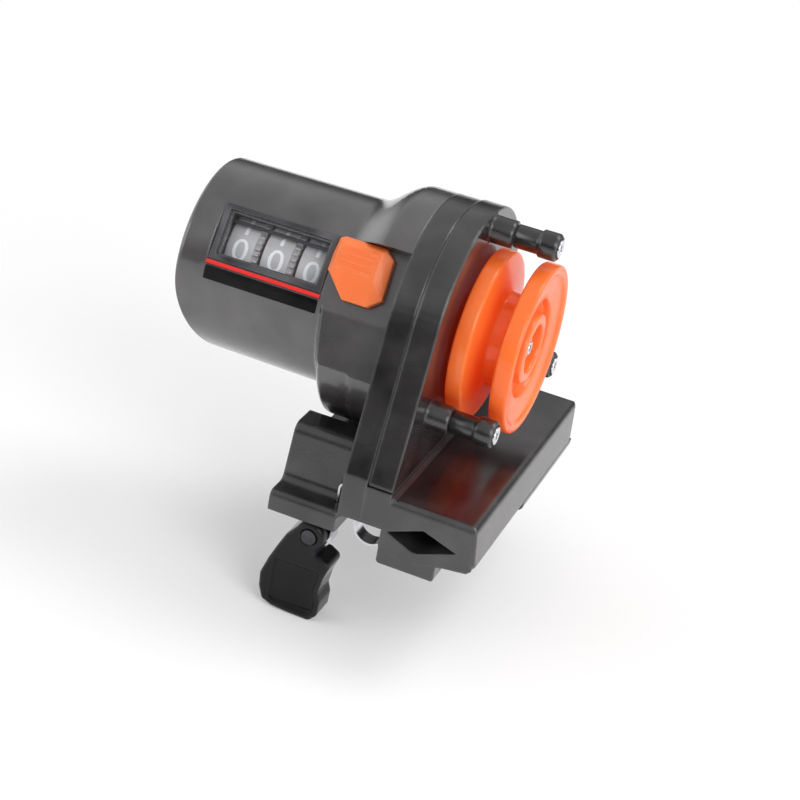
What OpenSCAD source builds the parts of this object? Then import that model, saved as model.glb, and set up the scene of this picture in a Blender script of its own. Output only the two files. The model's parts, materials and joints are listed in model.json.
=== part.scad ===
// Clip-on fishing line counter, millimetres.
// X runs along the measuring wheel's axis towards the wheel, Y along the rod, Z up.
// The origin is the rod's centre in the strap clamp, at the middle of the strap.

/* [Measuring wheel] */
// Outer diameter of the two flanges
wheel_d = 36; // [32:0.5:38]
// Width over both flanges
wheel_w = 13.3; // [11:0.1:16]
// Diameter of the drum that the line runs on
drum_d = 20; // [17:0.5:23]
// Width of the drum at the bottom of the groove
drum_w = 3.4; // [2.6:0.1:4.4]
// Width of the outer flange's flat rim
rim_w = 3.7; // [2.6:0.1:4.2]
// Diameter of the wheel shaft
shaft_d = 4; // [3:0.25:5]

/* [Guide posts] */
// Distance of each post from the wheel's axis
post_circle_r = 22.7; // [22.2:0.1:24]
// Diameter of the roller's end collar and of the fixed boss
collar_d = 5.8; // [5:0.1:6.4]
// Diameter of the roller's sleeve
sleeve_d = 4.9; // [4.2:0.1:5.4]
// Length of the fixed boss on the plate
post_boss_l = 4.9; // [3:0.1:6]
// Length of the end collar
collar_l = 3.9; // [2:0.1:5]
// Diameter of the post screw's plain shank
post_pin_d = 2.2; // [1.6:0.1:2.6]

/* [Plates] */
// Radius of the plates' round top
plate_r = 25.9; // [24:0.1:28]
// Thickness of the middle plate
mid_plate_t = 5.1; // [4:0.1:7]
// Thickness of the wheel plate
wheel_plate_t = 5.4; // [4:0.1:7]
// Gap between the wheel plate and the wheel
wheel_gap = 1.1; // [0.6:0.1:2]

/* [Barrel] */
// Outer diameter of the barrel
barrel_d = 40.6; // [39:0.2:46]
// Length of the housing from its round end to the middle plate
barrel_l = 48.6; // [48:0.2:54]
// Wall thickness of the housing
wall = 2; // [1.6:0.1:2.4]
// Elevation of the window's normal above the front
panel_ang = 31; // [20:1:45]
// Distance of the flat panel from the barrel's axis
panel_n = 19.3; // [19.2:0.1:19.6]

/* [Window] */
// Length of the bezel along the barrel
bezel_l = 25; // [24:0.1:25.4]
// Height of the bezel
bezel_h = 12; // [11:0.1:12.6]
// Width of the bezel's frame
bezel_w = 1.2; // [0.8:0.1:1.6]
// Thickness of the clear pane
lens_t = 0.8; // [0.6:0.1:0.8]

/* [Counter] */
// Diameter of the number wheels
number_d = 18.4; // [17:0.1:18.6]
// Width of one number wheel
number_w = 7; // [6:0.1:7.2]
// Distance from one number wheel to the next
number_pitch = 8; // [7.8:0.1:8.4]
// Diameter of the number wheels' shaft
number_shaft_d = 2.4; // [2:0.1:3]
// Module of the reduction gears
gear_m = 0.3; // [0.28:0.01:0.31]
// Module of the transfer gears between the number wheels
transfer_m = 0.42; // [0.4:0.01:0.42]
// Teeth of the small gears of the reduction
pinion_z = 10; // [10:1:10]
// Teeth of the first large gear
first_z = 50; // [50:1:50]
// Teeth of the second large gear
second_z = 52; // [52:1:52]
// Teeth of the output gear
output_z = 60; // [60:1:60]

/* [Reset slider] */
// Length of the slider along the barrel
slider_l = 12.7; // [11:0.1:12.8]
// Height of the slider across the barrel
slider_h = 12.3; // [11:0.1:13]
// Height of the slider's plateau above the panel
slider_rise = 3.7; // [2.5:0.1:4.5]
// Travel of the slider
slider_travel = 2.2; // [1.4:0.1:2.2]

/* [Base] */
// Depth of the base along the rod
base_depth = 68.8; // [64:0.2:76]
// Length of the left clamp block
left_block_l = 14.7; // [14:0.1:17]
// Length of the pad under the wheel
pad_l = 18.4; // [16:0.1:22]
// Top of the pad above the rod's axis
pad_top = 10.4; // [9.6:0.1:11.4]
// Height of the foot's top above the rod's axis
foot_top = 11.5; // [11:0.1:13]
// Radius of the rod in the clamp
rod_r = 3.3; // [3:0.1:3.4]
// Width of the rod channel
channel_w = 9.7; // [9.4:0.1:11]
// Height of the barrel's axis above the rod's axis
axis_z = 35; // [34.6:0.1:38]

/* [Clamp] */
// Width of the steel strap
strap_w = 3.6; // [3:0.1:4]
// Thickness of the steel strap
strap_t = 0.4; // [0.3:0.05:0.5]
// Radius of the lever's round head
hub_r = 3.2; // [2.6:0.1:3.2]
// Diameter of the lever's pin
lever_pin_d = 2; // [1.6:0.1:2.2]

/* [Hidden] */

$fn = 64;
e = 0.01;

// Clearances
run_gap = 0.05;
fit_gap = 0.1;
free_gap = 0.3;

// Places along the wheel's axis, from left to right
arch_right = rod_r + 0.1;
arch_left = arch_right - channel_w;
mid_x0 = arch_left + 0.1;
mid_x1 = mid_x0 + mid_plate_t;
plate_x1 = mid_x1 + wheel_plate_t;
wheel_x0 = plate_x1 + wheel_gap;
wheel_x1 = wheel_x0 + wheel_w;
barrel_x0 = mid_x0 - barrel_l;
block_x0 = mid_x0 - left_block_l;
pad_x1 = plate_x1 + pad_l;

// Places along the rod
front_y = -6;
mid_y = front_y + base_depth / 2;
back_y = front_y + base_depth;

// Heights
ceiling_z = rod_r + 0.1;
base_z = -1.4;
rib_z = -4.4;
post_angles = [90, 210, 330];

// Housing profile
barrel_r = barrel_d / 2;
inner_r = barrel_r - wall;
flare_x0 = mid_x0 - 15.2;
flare_x1 = mid_x0 - 5;
flange_r = plate_r;
// Lower body of the housing: a steep shoulder, and flats tangent to the barrel
belly_r = flange_r - 0.3;
belly_ang = panel_ang - 7.4;
belly_x0 = mid_x0 - 16.6;
belly_x1 = mid_x0 - 12.4;

// Panel with the window and the slider: v is its height, x as in the part
panel_v0 = -7.2;
panel_v1 = 7.9;
panel_x0 = barrel_x0 + 6.6;
panel_in = panel_n - wall;
bezel_x0 = panel_x0 + 0.2;
bezel_v0 = -4.5;
bezel_seat = panel_n - 0.8;
opening_l = bezel_l - 2 * bezel_w - 1;
opening_h = bezel_h - 2 * bezel_w - 0.8;
bezel_cx = bezel_x0 + bezel_l / 2;
bezel_cv = bezel_v0 + bezel_h / 2;
strip_v1 = bezel_v0 - 0.3;
strip_h = 0.8;

// Counter
number_n = panel_in - 1.1 - number_d / 2;
number_r = number_d / 2;
metres_x = bezel_cx + number_pitch + 0.6;
wheel_xs = [metres_x, metres_x - number_pitch, metres_x - 2 * number_pitch];
transfer_ring_z = 40;
transfer_pinion_z = 12;
transfer_dist = transfer_m * (transfer_ring_z + transfer_pinion_z) / 2 + fit_gap;
transfer_ang = 125;
transfer_n = number_n + transfer_dist * cos(transfer_ang);
transfer_v = transfer_dist * sin(transfer_ang);
ring_w = 1.1;
hub_end_x = wheel_xs[2] - number_w / 2 - 1.2;
ear_t = 1.4;
ear_x1 = metres_x + number_w / 2 + 0.2 + ear_t;
ear_x0 = barrel_x0 + 5.2;
ear_low = -9;

// Gear train, in the panel's (n, v) plane
mesh_gap = 0.05;
drive_dist = gear_m * (pinion_z + first_z) / 2 + mesh_gap;
second_dist = gear_m * (pinion_z + second_z) / 2 + mesh_gap;
output_dist = gear_m * (pinion_z + output_z) / 2 + mesh_gap;
first_nv = [-drive_dist, 0];
span_first_out = number_n + drive_dist;
along = (second_dist * second_dist - output_dist * output_dist + span_first_out * span_first_out)
  / (2 * span_first_out);
second_nv = [along - drive_dist, -sqrt(second_dist * second_dist - along * along)];
big_w = 1.5;
train_x = mid_x0 - 1;
first_x0 = train_x - big_w;
second_x1 = first_x0 - 0.7;
second_x0 = second_x1 - big_w;
output_x1 = second_x0 - 0.7;
output_x0 = output_x1 - big_w;
gear_pin_d = 1.6;

// Slider
slider_x0 = bezel_x0 + bezel_l + 0.4;
slider_v1 = panel_v1 - 0.1;
slider_v0 = slider_v1 - slider_h;
stem_x0 = slider_x0 + 3.2;
stem_w = 1.8;
stem_v0 = 0;
stem_h = 5;
retainer_x0 = stem_x0 - 0.9;
retainer_w = 3.6;
retainer_t = 1;
spring_n = panel_in - 2.1;
spring_r = 1.1;
spring_wire = 0.35;
spring_turns = 6;
shelf_v1 = -8.4;

// Clamp
strap_mid_r = rod_r + strap_t / 2;
strap_turn_r = 1.2;
strap_wrap = 58;
strap_slot_z = -(strap_mid_r + strap_turn_r) * sin(strap_wrap) + strap_turn_r;
strap_turn_x = (strap_mid_r + strap_turn_r) * cos(strap_wrap);
strap_top_r = 1.3;
strap_top_z = 8;
strap_run = 1.9;
hub_wrap_r = hub_r + free_gap + strap_t / 2;
hub_x = -strap_mid_r - 2 * strap_top_r - strap_run - hub_wrap_r;
hub_z = base_z - hub_r - 0.4;
rib_x1 = arch_right + 12.3;
rib_y0 = front_y + 0.4;
rib_y1 = 2.6;
tab_x = rib_x1 + 0.1 + strap_t / 2;
tab_top_z = -0.8;
tab_screw_z = -1.8;
tab_bend_r = 0.7;
lug_t = 3;
lug_gap = 0.15;
lug_r = 2.4;
hub_half = strap_w / 2 + 0.4;
pin_head_r = lever_pin_d / 2 + 0.6;
lever_front = -front_y - 1.3;

// Points of an arc around (x, z) with radius r from angle a to angle b, in n steps
function arc(x, z, r, a, b, n = 8) = [for (i = [0:n]) [x + r * cos(a + (b - a) * i / n), z + r * sin(a + (b - a) * i / n)]];
// The same arc moved by off along a normal that points out (s = 1) or in (s = -1)
function band(x, z, r, a, b, s, off, n = 8) = arc(x, z, r + s * off, a, b, n);
function reverse(p) = [for (i = [len(p) - 1:-1:0]) p[i]];

// Outline in (y, z) pushed along X from x0 to x1
module push_x(x0, x1) {
  translate([x0, 0, 0])
    rotate([90, 0, 90])
      linear_extrude(x1 - x0)
        children();
}

// Outline in (x, z) pushed along Y from y0 to y1
module push_y(y0, y1) {
  translate([0, y1, 0])
    rotate([90, 0, 0])
      linear_extrude(y1 - y0)
        children();
}

// Cylinder along X
module rod_x(x0, x1, r, y = 0, z = 0) {
  translate([x0, y, z])
    rotate([0, 90, 0])
      cylinder(h = x1 - x0, r = r);
}

// Cylinder along Y
module rod_y(y0, y1, r, x = 0, z = 0) {
  translate([x, y0, z])
    rotate([-90, 0, 0])
      cylinder(h = y1 - y0, r = r);
}

// Revolves a profile of (radius, x) points around the X axis
module turn_x() {
  rotate([90, 0, 90])
    rotate_extrude()
      children();
}

// Frame of the wheel's and the barrel's common axis
module on_axis() {
  translate([0, mid_y, axis_z])
    children();
}

// Frame of the flat panel: -Y points out of the window and Z is v
module on_panel() {
  on_axis()
    rotate([-panel_ang, 0, 0])
      children();
}

// Box in the panel's frame, between two distances n and two heights v
module panel_box(x0, x1, n0, n1, v0, v1) {
  translate([x0, -n1, v0])
    cube([x1 - x0, n1 - n0, v1 - v0]);
}

// Spur gear outline with z teeth of module m, turned by ph
module gear_2d(m, z, ph = 0, add = 0.85) {
  rp = m * z / 2;
  ra = rp + add * m;
  rf = rp - 1.15 * m;
  step = 360 / z;
  polygon([for (i = [0:z - 1]) for (k = [[rf, -0.31], [rp, -0.205], [ra, -0.095], [ra, 0.095], [rp, 0.205], [rf, 0.31]])
    [k[0] * cos(ph + (i + k[1]) * step), k[0] * sin(ph + (i + k[1]) * step)]]);
}

// Gear along X with its centre at (n, v) of the panel
module gear_at(x0, x1, nv, m, z, ph) {
  translate([0, -nv[0], nv[1]])
    push_x(x0, x1)
      mirror([1, 0])
        gear_2d(m, z, ph);
}

// Outline of a plate: round top, straight sides down to the foot
module plate_2d(r, foot_z, corner = 0.01) {
  offset(r = corner)
    offset(delta = -corner)
      intersection() {
        hull() {
          translate([mid_y, axis_z])
            circle(r = r, $fn = 96);
          translate([front_y + 0.2, foot_z])
            square([base_depth - 0.4, 0.5]);
        }
        translate([front_y, foot_z])
          square([base_depth, 80]);
      }
}

// Outer profile of the housing as (radius, x) points
function housing_outline(r, x0, x1) = concat(
  [[0, x0]],
  [for (p = arc(x0 + 1, r - 1.4, 1, 180, 90, 6)) [p[1], p[0]]],
  [for (i = [0:14]) [r + (flange_r - r) * (1 - cos(180 * i / 14)) / 2, flare_x0 + (flare_x1 - flare_x0) * i / 14]],
  [[flange_r, x1], [0, x1]]
);

// Side view of the barrel's end in (x, z) around the axis, drawn in below the middle
module barrel_end_2d() {
  drop = barrel_r + 2;
  polygon(concat(
    [[mid_x0 + 1, drop + 10], [barrel_x0 - 0.4, drop + 10]],
    [for (i = [0:12]) let (z = 5 - i * (drop + 5) / 12) [barrel_x0 + 0.2 + (5 - z) * (5 - z) / 80, z]],
    [[barrel_x0 + 12, -drop - 10], [mid_x0 + 1, -drop - 10]]
  ));
}

// Profile of the belly's steep shoulder as (radius, x) points
function belly_outline() = concat(
  [[0, belly_x0]],
  [for (i = [0:10]) [barrel_r - 0.2 + (belly_r + 0.2 - barrel_r) * (1 - cos(180 * i / 10)) / 2,
    belly_x0 + (belly_x1 - belly_x0) * pow(i / 10, 0.8)]],
  [[belly_r, mid_x0], [0, mid_x0]]
);

// Section in (y, z) that holds the belly below two flats tangent to the barrel
module belly_2d() {
  reach = 2 * belly_r;
  intersection_for(s = [-1, 1])
    rotate(s * (90 - belly_ang))
      translate([-reach, -2 * reach])
        square([2 * reach, 2 * reach + barrel_r]);
}

module barrel_housing() {
  color("#2b2b2e")
    difference() {
      union() {
        intersection() {
          on_axis()
            turn_x()
              polygon(housing_outline(barrel_r, barrel_x0, mid_x0));
          translate([0, mid_y + 30, axis_z])
            rotate([90, 0, 0])
              linear_extrude(60)
                barrel_end_2d();
        }
        on_axis()
          intersection() {
            turn_x()
              polygon(belly_outline());
            push_x(belly_x0 - 1, mid_x0)
              intersection() {
                belly_2d();
                translate([-30, -30])
                  square([60, 30 + barrel_r * sin(belly_ang)]);
              }
          }
      }
      // Front flat below the panel, tangent to the barrel
      on_axis()
        rotate([-belly_ang, 0, 0])
          panel_box(belly_x0, mid_x0 + 1, barrel_r, barrel_r + 10, -17, 0);
      on_axis()
        difference() {
          intersection() {
            rod_x(barrel_x0 + wall, mid_x0 + 1, inner_r);
            translate([wall, 30, 0])
              rotate([90, 0, 0])
                linear_extrude(60)
                  barrel_end_2d();
          }
          on_panel_cut()
            panel_box(barrel_x0, mid_x0 + 2, panel_in, panel_n, -20, 20);
          spring_shelf();
        }
      // Flat that the window and the slider lie on
      on_panel()
        panel_box(panel_x0 - e, mid_x0 + 1, panel_n, panel_n + 10, panel_v0, panel_v1);
      // Seat of the bezel and the opening behind the pane
      on_panel() {
        panel_box(bezel_cx - bezel_l / 2 - fit_gap, bezel_cx + bezel_l / 2 + fit_gap, bezel_seat, panel_n + 1,
          bezel_cv - bezel_h / 2 - fit_gap, bezel_cv + bezel_h / 2 + fit_gap);
        panel_box(bezel_cx - opening_l / 2, bezel_cx + opening_l / 2, panel_in - 3, panel_n,
          bezel_cv - opening_h / 2, bezel_cv + opening_h / 2);
        panel_box(bezel_cx - bezel_l / 2 - 0.3, bezel_cx + bezel_l / 2 + 0.3, panel_n - 0.5, panel_n + 1,
          strip_v1 - strip_h - fit_gap, strip_v1 + fit_gap);
        // Slot of the slider's stem
        panel_box(stem_x0 - 0.2, stem_x0 + stem_w + 0.2, panel_in - 3, panel_n + 1,
          stem_v0 - slider_travel - 0.3, stem_v0 + stem_h + 0.3);
      }
      case_screw_holes(mid_x0 - 4.5, mid_x0 + 1, 0.9);
    }
}

// Panel frame relative to the axis frame
module on_panel_cut() {
  rotate([-panel_ang, 0, 0])
    children();
}

// Shelf inside the housing that the reset spring stands on
module spring_shelf() {
  on_panel_cut()
    panel_box(stem_x0 - 0.8, stem_x0 + stem_w + 0.8, spring_n - 1.6, panel_n, shelf_v1 - 1.2, shelf_v1);
}

// Case screws run from the middle plate into the housing's flange
screw_angles = [42, 104, 228, 312];
screw_circle_r = barrel_r + 1.6;
module case_screw_holes(x0, x1, r) {
  on_axis()
    for (a = screw_angles)
      rod_x(x0, x1, r, screw_circle_r * cos(a), screw_circle_r * sin(a));
}

// Profile in (y, z) of the left clamp block, with a cradle under the barrel
module left_block_2d() {
  h = base_depth / 2;
  side = concat(
    [[-h + 1.6, base_z]],
    arc(-h + 1, base_z + 1, 1, 225, 180, 3),
    arc(-h + 1.3, 2.1, 1.3, 180, 90, 4),
    [[-h + 4.4, 3.4]],
    arc(-h + 4.4, 5.2, 1.8, 270, 350, 4),
    arc(-h + 10.2, 13.1, 2.2, 172, 90, 5),
    arc(-h + 15.2, 14.1, 1.2, 90, 25, 4),
    [[-h + 21, 7.5]]
  );
  translate([mid_y, 0])
    polygon(concat(side, [for (p = reverse(side)) [-p[0], p[1]]]));
}

// Centre line of the strap moved sideways by off, in (x, z): from the lever's head down to the rod's loop
function strap_left(off) = concat(
  band(hub_x, hub_z, hub_wrap_r, -42, 0, 1, off, 7),
  band(hub_x + hub_wrap_r + strap_top_r, strap_top_z - strap_top_r, strap_top_r, 180, 90, -1, off, 5),
  band(-strap_mid_r - strap_top_r, strap_top_z - strap_top_r, strap_top_r, 90, 0, -1, off, 5),
  [[-strap_mid_r - off, -e]]
);

// From the loop's end to the tab on the rib
function strap_right(off) = concat(
  band(0, 0, strap_mid_r, 359 - strap_wrap, 360 - strap_wrap, 1, off, 1),
  band(strap_turn_x, strap_slot_z - strap_turn_r, strap_turn_r, 179 - strap_wrap, 90, -1, off, 5),
  band(tab_x - tab_bend_r, strap_slot_z + tab_bend_r, tab_bend_r, 270, 360, 1, off, 5),
  [[tab_x + off, tab_top_z]]
);

module strap_end_2d(side, other) {
  polygon(concat(side, reverse(other)));
}

// Loop of the strap around the rod
module strap_loop(half, half_w) {
  intersection() {
    difference() {
      rod_y(-half_w, half_w, strap_mid_r + half);
      rod_y(-half_w - 1, half_w + 1, strap_mid_r - half);
    }
    push_y(-half_w - 1, half_w + 1)
      polygon(concat([[0, 0]], arc(0, 0, 9, 180, 360 - strap_wrap, 6)));
  }
}

module clamp_strap() {
  half = strap_t / 2;
  color("#c9ccd0")
    difference() {
      union() {
        push_y(-strap_w / 2, strap_w / 2)
          strap_end_2d(strap_left(half), strap_left(-half));
        strap_loop(half, strap_w / 2);
        push_y(-strap_w / 2, strap_w / 2)
          strap_end_2d(strap_right(half), strap_right(-half));
      }
      rod_x(tab_x - 1, tab_x + 1, 0.85, 0, tab_screw_z);
    }
}

// Lug under the left block that carries the lever's pin, behind the lever
module lever_lug() {
  push_y(hub_half + lug_gap, hub_half + lug_gap + lug_t)
    hull() {
      translate([hub_x, hub_z])
        circle(r = lug_r, $fn = 32);
      translate([hub_x - lug_r - 1, base_z - 0.1])
        square([2 * lug_r + 1.4, 0.6]);
    }
}

module gear_frame() {
  color("#28282b")
    difference() {
      union() {
        push_x(mid_x0, mid_x1)
          plate_2d(plate_r, foot_top);
        // Left half of the foot
        translate([mid_x0, front_y, ceiling_z])
          cube([mid_x1 - mid_x0, base_depth, foot_top - ceiling_z + 1]);
        push_x(block_x0, arch_left)
          left_block_2d();
        // Rounded corner of the rod channel
        push_y(front_y, back_y)
          polygon(concat([[arch_left - 0.1, ceiling_z + 0.1]],
            arc(arch_left + 2, ceiling_z - 2, 2, 180, 90, 6),
            [[arch_left + 2, ceiling_z + 0.1]]));
        lever_lug();
      }
      // Cradle's end keeps clear of the housing's flange
      on_axis()
        rod_x(block_x0 - 1, mid_x0, barrel_r + 0.6);
      on_axis()
        rod_x(flare_x0 - 1, mid_x0, flange_r + 0.4);
      // Bearing seat and inner clearance
      on_axis() {
        rod_x(mid_x0 - 1, mid_x1 + 1, shaft_d / 2 + 0.3);
        rod_x(mid_x0 - 1, mid_x0 + 2.5, bush_r);
      }
      on_panel()
        for (nv = [first_nv, second_nv])
          rod_x(mid_x0 - 1, mid_x0 + 2.8, gear_pin_d / 2, -nv[0], nv[1]);
      dowels(mid_x1 - 3.3, 1.5 + fit_gap / 2);
      // Channel of the strap
      push_y(-strap_w / 2 - 0.2, strap_w / 2 + 0.2)
        intersection() {
          strap_end_2d(strap_left(strap_t / 2 + 0.25), strap_left(-strap_t / 2 - 0.25));
          translate([block_x0, base_z - 0.5])
            square([arch_right - block_x0 - 0.5, 20]);
        }
      rod_y(0, hub_half + lug_gap + lug_t + 1, lever_pin_d / 2, hub_x, hub_z);
      case_screw_holes(mid_x0 - 1, mid_x1 + 1, 1.2);
      case_screw_holes(mid_x1 - 1.6, mid_x1 + 1, 2.1);
      // Threaded ends of the post screws
      on_axis()
        for (a = post_angles)
          rod_x(mid_x1 - 3.5, mid_x1 + 1, post_pin_d / 2, post_circle_r * cos(a), post_circle_r * sin(a));
    }
}

module wheel_plate() {
  color("#2a2a2d")
    difference() {
      union() {
        push_x(mid_x1, plate_x1)
          plate_2d(plate_r + 0.3, foot_top + 0.05, 0.6);
        on_axis()
          for (a = post_angles)
            rod_x(plate_x1 - 1, plate_x1 + post_boss_l, collar_d / 2, post_circle_r * cos(a), post_circle_r * sin(a));
      }
      on_axis() {
        rod_x(mid_x1 - 1, plate_x1 + 1, shaft_d / 2 + 0.3);
        rod_x(plate_x1 - 2.5, plate_x1 + 1, bush_r);
        for (a = post_angles)
          rod_x(mid_x1 - 1, plate_x1 + post_boss_l + 1, post_pin_d / 2, post_circle_r * cos(a), post_circle_r * sin(a));
      }
    }
}

// Cross-section of the pad in (x, z), with a drafted outer side and a rounded upper edge
module pad_2d() {
  polygon(concat(
    [[arch_right, 1.5], [arch_right, pad_top], [pad_x1 - 1.5, pad_top]],
    arc(pad_x1 - 1.5, pad_top - 1.5, 1.5, 80, 8, 5),
    [[pad_x1 + 0.7, 1.5]]
  ));
}

// Plan of the pad in (x, y)
module pad_plan_2d() {
  polygon(concat(
    [[arch_right - 0.1, front_y]],
    arc(pad_x1 - 0.9, front_y + 1.6, 1.6, 270, 360, 5),
    arc(pad_x1 - 2.5, back_y - 3.2, 3.2, 0, 90, 6),
    [[arch_right - 0.1, back_y]]
  ));
}

// Side view of the pad in (y, z)
module pad_side_2d() {
  polygon(concat(
    [[front_y, -3]],
    arc(front_y + 1.4, pad_top - 1.4, 1.4, 180, 90, 4),
    arc(back_y - 1.4, pad_top - 1.4, 1.4, 90, 0, 4),
    [[back_y, -3]]
  ));
}

module right_base() {
  diamond_x = plate_x1 + 7.7;
  diamond_z = 3.5;
  color("#2a2a2d")
    difference() {
      union() {
        intersection() {
          push_y(front_y, back_y)
            pad_2d();
          translate([0, 0, -5])
            linear_extrude(30)
              pad_plan_2d();
          push_x(0, pad_x1 + 5)
            pad_side_2d();
        }
        // Right half of the foot
        translate([mid_x1, front_y, ceiling_z])
          cube([plate_x1 - mid_x1, base_depth, foot_top - ceiling_z]);
        // Front wall below the pad, with a bulge under the diamond pocket
        push_y(front_y, front_y + 12)
          polygon([[arch_right, 2], [arch_right, -0.6], [diamond_x - 3.2, -2.2], [diamond_x - 1.6, -2.2],
            [diamond_x + 5, -0.4], [pad_x1 - 0.6, 0.2], [pad_x1 + 0.3, 1], [pad_x1 + 0.3, 2]]);
        dowels(mid_x1 - 3, 1.5);
        // Rib that anchors the strap
        push_y(rib_y0, rib_y1)
          polygon([[arch_right, 1], [arch_right, rib_z + 0.5], [arch_right + 0.5, rib_z], [rib_x1 - 0.3, rib_z],
            [rib_x1, rib_z + 0.3], [rib_x1, 1]]);
      }
      // Fine step beside the wheel plate
      translate([plate_x1 + 0.7, front_y - 1, pad_top - 0.3])
        cube([0.5, base_depth + 2, 1]);
      // Diamond pocket in the front face
      push_y(front_y - 1, front_y + 10)
        polygon([[diamond_x - 7.6, diamond_z - 0.2], [diamond_x, diamond_z + 2.8], [diamond_x + 7.6, diamond_z + 0.2],
          [diamond_x - 0.4, diamond_z - 2.8], [diamond_x - 1.8, diamond_z - 2.8]]);
      // Slot of the strap and pilot hole of its screw
      push_y(-strap_w / 2 - 0.2, strap_w / 2 + 0.2)
        translate([arch_right - 2, strap_slot_z - strap_t / 2 - 0.2])
          square([rib_x1 - arch_right + 3, strap_t + 0.4]);
      rod_x(rib_x1 - 5, rib_x1 + 1, 0.75, 0, tab_screw_z);
      for (y = base_screw_ys)
        translate([base_screw_x, y, 0])
          cylinder(h = 5, r = 0.8, $fn = 24);
    }
}

// Dowels that locate the right base in the middle plate's foot
dowel_ys = [front_y + 13, back_y - 9];
dowel_z = (ceiling_z + foot_top) / 2;
module dowels(x0, r) {
  for (y = dowel_ys)
    rod_x(x0, mid_x1 + 0.5, r, y, dowel_z);
}

base_screw_x = plate_x1 + 9;
base_screw_ys = [mid_y - 8, back_y - 9];

module base_cover() {
  cover_y0 = front_y + 12.3;
  color("#262629")
    difference() {
      union() {
        push_y(cover_y0, back_y - 0.4)
          polygon([[arch_right + 0.4, 1.2], [arch_right + 0.4, base_z + 0.6], [arch_right + 1, base_z],
            [pad_x1 - 1.6, base_z], [pad_x1 - 0.6, base_z + 1], [pad_x1 - 0.6, 1.2]]);
        // Lip along the rear half of the outer side
        push_y(mid_y - 1, back_y - 0.4)
          polygon([[pad_x1 - 2, base_z], [pad_x1, base_z + 0.3], [pad_x1 + 0.5, base_z + 0.9],
            [pad_x1 + 0.6, 1], [pad_x1 - 2, 1]]);
      }
      for (y = base_screw_ys)
        translate([base_screw_x, y, 0]) {
          translate([0, 0, base_z - 1])
            cylinder(h = 5, r = 1.1, $fn = 24);
          translate([0, 0, base_z - 1])
            cylinder(h = 2, r = 1.9, $fn = 24);
        }
    }
}

module base_screws() {
  color("#b8babd")
    for (y = base_screw_ys)
      translate([base_screw_x, y, 0]) {
        translate([0, 0, base_z + 1])
          cylinder(h = 4.4, r = 0.8, $fn = 24);
        translate([0, 0, base_z + 0.1])
          cylinder(h = 0.9, r = 1.7, $fn = 24);
      }
}

module window_bezel() {
  color("#3a3a3d")
    on_panel()
      difference() {
        panel_box(bezel_cx - bezel_l / 2, bezel_cx + bezel_l / 2, bezel_seat, panel_n + 0.3,
          bezel_cv - bezel_h / 2, bezel_cv + bezel_h / 2);
        panel_box(bezel_cx - bezel_l / 2 + bezel_w, bezel_cx + bezel_l / 2 - bezel_w, bezel_seat - 1, panel_n + 1,
          bezel_cv - bezel_h / 2 + bezel_w, bezel_cv + bezel_h / 2 - bezel_w);
      }
}

module window_lens() {
  color([0.85, 0.9, 0.92, 0.3])
    on_panel()
      panel_box(bezel_cx - bezel_l / 2 + bezel_w + 0.05, bezel_cx + bezel_l / 2 - bezel_w - 0.05,
        bezel_seat, bezel_seat + lens_t,
        bezel_cv - bezel_h / 2 + bezel_w + 0.05, bezel_cv + bezel_h / 2 - bezel_w - 0.05);
}

module index_strip() {
  color("#d8281e")
    on_panel()
      panel_box(bezel_cx - bezel_l / 2 - 0.2, bezel_cx + bezel_l / 2 + 0.2, panel_n - 0.5, panel_n + 0.2,
        strip_v1 - strip_h, strip_v1);
}

// Ear of the counter frame: a disc cut flat below the window
module ear(x0) {
  on_axis()
    intersection() {
      rod_x(x0, x0 + ear_t, inner_r - 0.3);
      on_panel_cut()
        panel_box(x0 - 1, x0 + ear_t + 1, -30, panel_in - 0.2, -30, 30);
      translate([x0 - 1, -30, ear_low])
        cube([ear_t + 2, 60, 60]);
    }
}

module counter_frame() {
  color("#1c1c1e")
    difference() {
      union() {
        ear(ear_x0);
        ear(ear_x1 - ear_t);
        on_panel() {
          // Bars across the top of the window
          for (v = [4.2, 5.8])
            panel_box(ear_x0, ear_x1, panel_in - 0.9, panel_in - 0.4, v, v + 0.7);
          // Back bars that join the ears
          panel_box(ear_x0, ear_x1, -13, -10.5, -2, 8);
        }
      }
      on_panel() {
        rod_x(ear_x0 - 1, ear_x1 + 1, number_shaft_d / 2 + run_gap, -number_n, 0);
        rod_x(ear_x0 - 1, ear_x1 + 1, 0.8, -transfer_n, transfer_v);
      }
    }
}

module number_shaft() {
  color("#b9bcc0")
    on_panel()
      rod_x(ear_x0 - 0.6, output_x1 + 0.3, number_shaft_d / 2, -number_n, 0);
}

// One number wheel with its transfer ring on the right
module number_wheel(x, bore_gap, ring) {
  color("#d9dadb")
    on_panel()
      translate([0, -number_n, 0])
        difference() {
          union() {
            rod_x(x - number_w / 2, x + number_w / 2 - ring_w, number_r);
            rod_x(x - number_w / 2, x + number_w / 2, 3);
            if (ring)
              push_x(x + number_w / 2 - ring_w - e, x + number_w / 2)
                mirror([1, 0])
                  gear_2d(transfer_m, transfer_ring_z, transfer_ang + 180 + 180 / transfer_ring_z + 180);
          }
          rod_x(x - number_w, x + number_w, number_shaft_d / 2 + bore_gap);
          // Hollow left side
          difference() {
            rod_x(x - number_w / 2 - 1, x + number_w / 2 - ring_w - 1.6, number_r - 1.2);
            rod_x(x - number_w / 2 - 2, x + number_w / 2, 3);
          }
        }
}

module metres_wheel() {
  number_wheel(wheel_xs[0], 0, false);
}

module tens_wheel() {
  number_wheel(wheel_xs[1], run_gap, true);
}

module hundreds_wheel() {
  number_wheel(wheel_xs[2], run_gap, true);
  color("#d9dadb")
    on_panel()
      translate([0, -number_n, 0])
        turn_x()
          polygon([[3.2, hub_end_x - e + 1.2], [3.2, hub_end_x], [number_r - 1.9, hub_end_x],
            [number_r - 1.3, hub_end_x + 0.5], [number_r - 1.3, hub_end_x + 1.2 + e]]);
}

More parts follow.
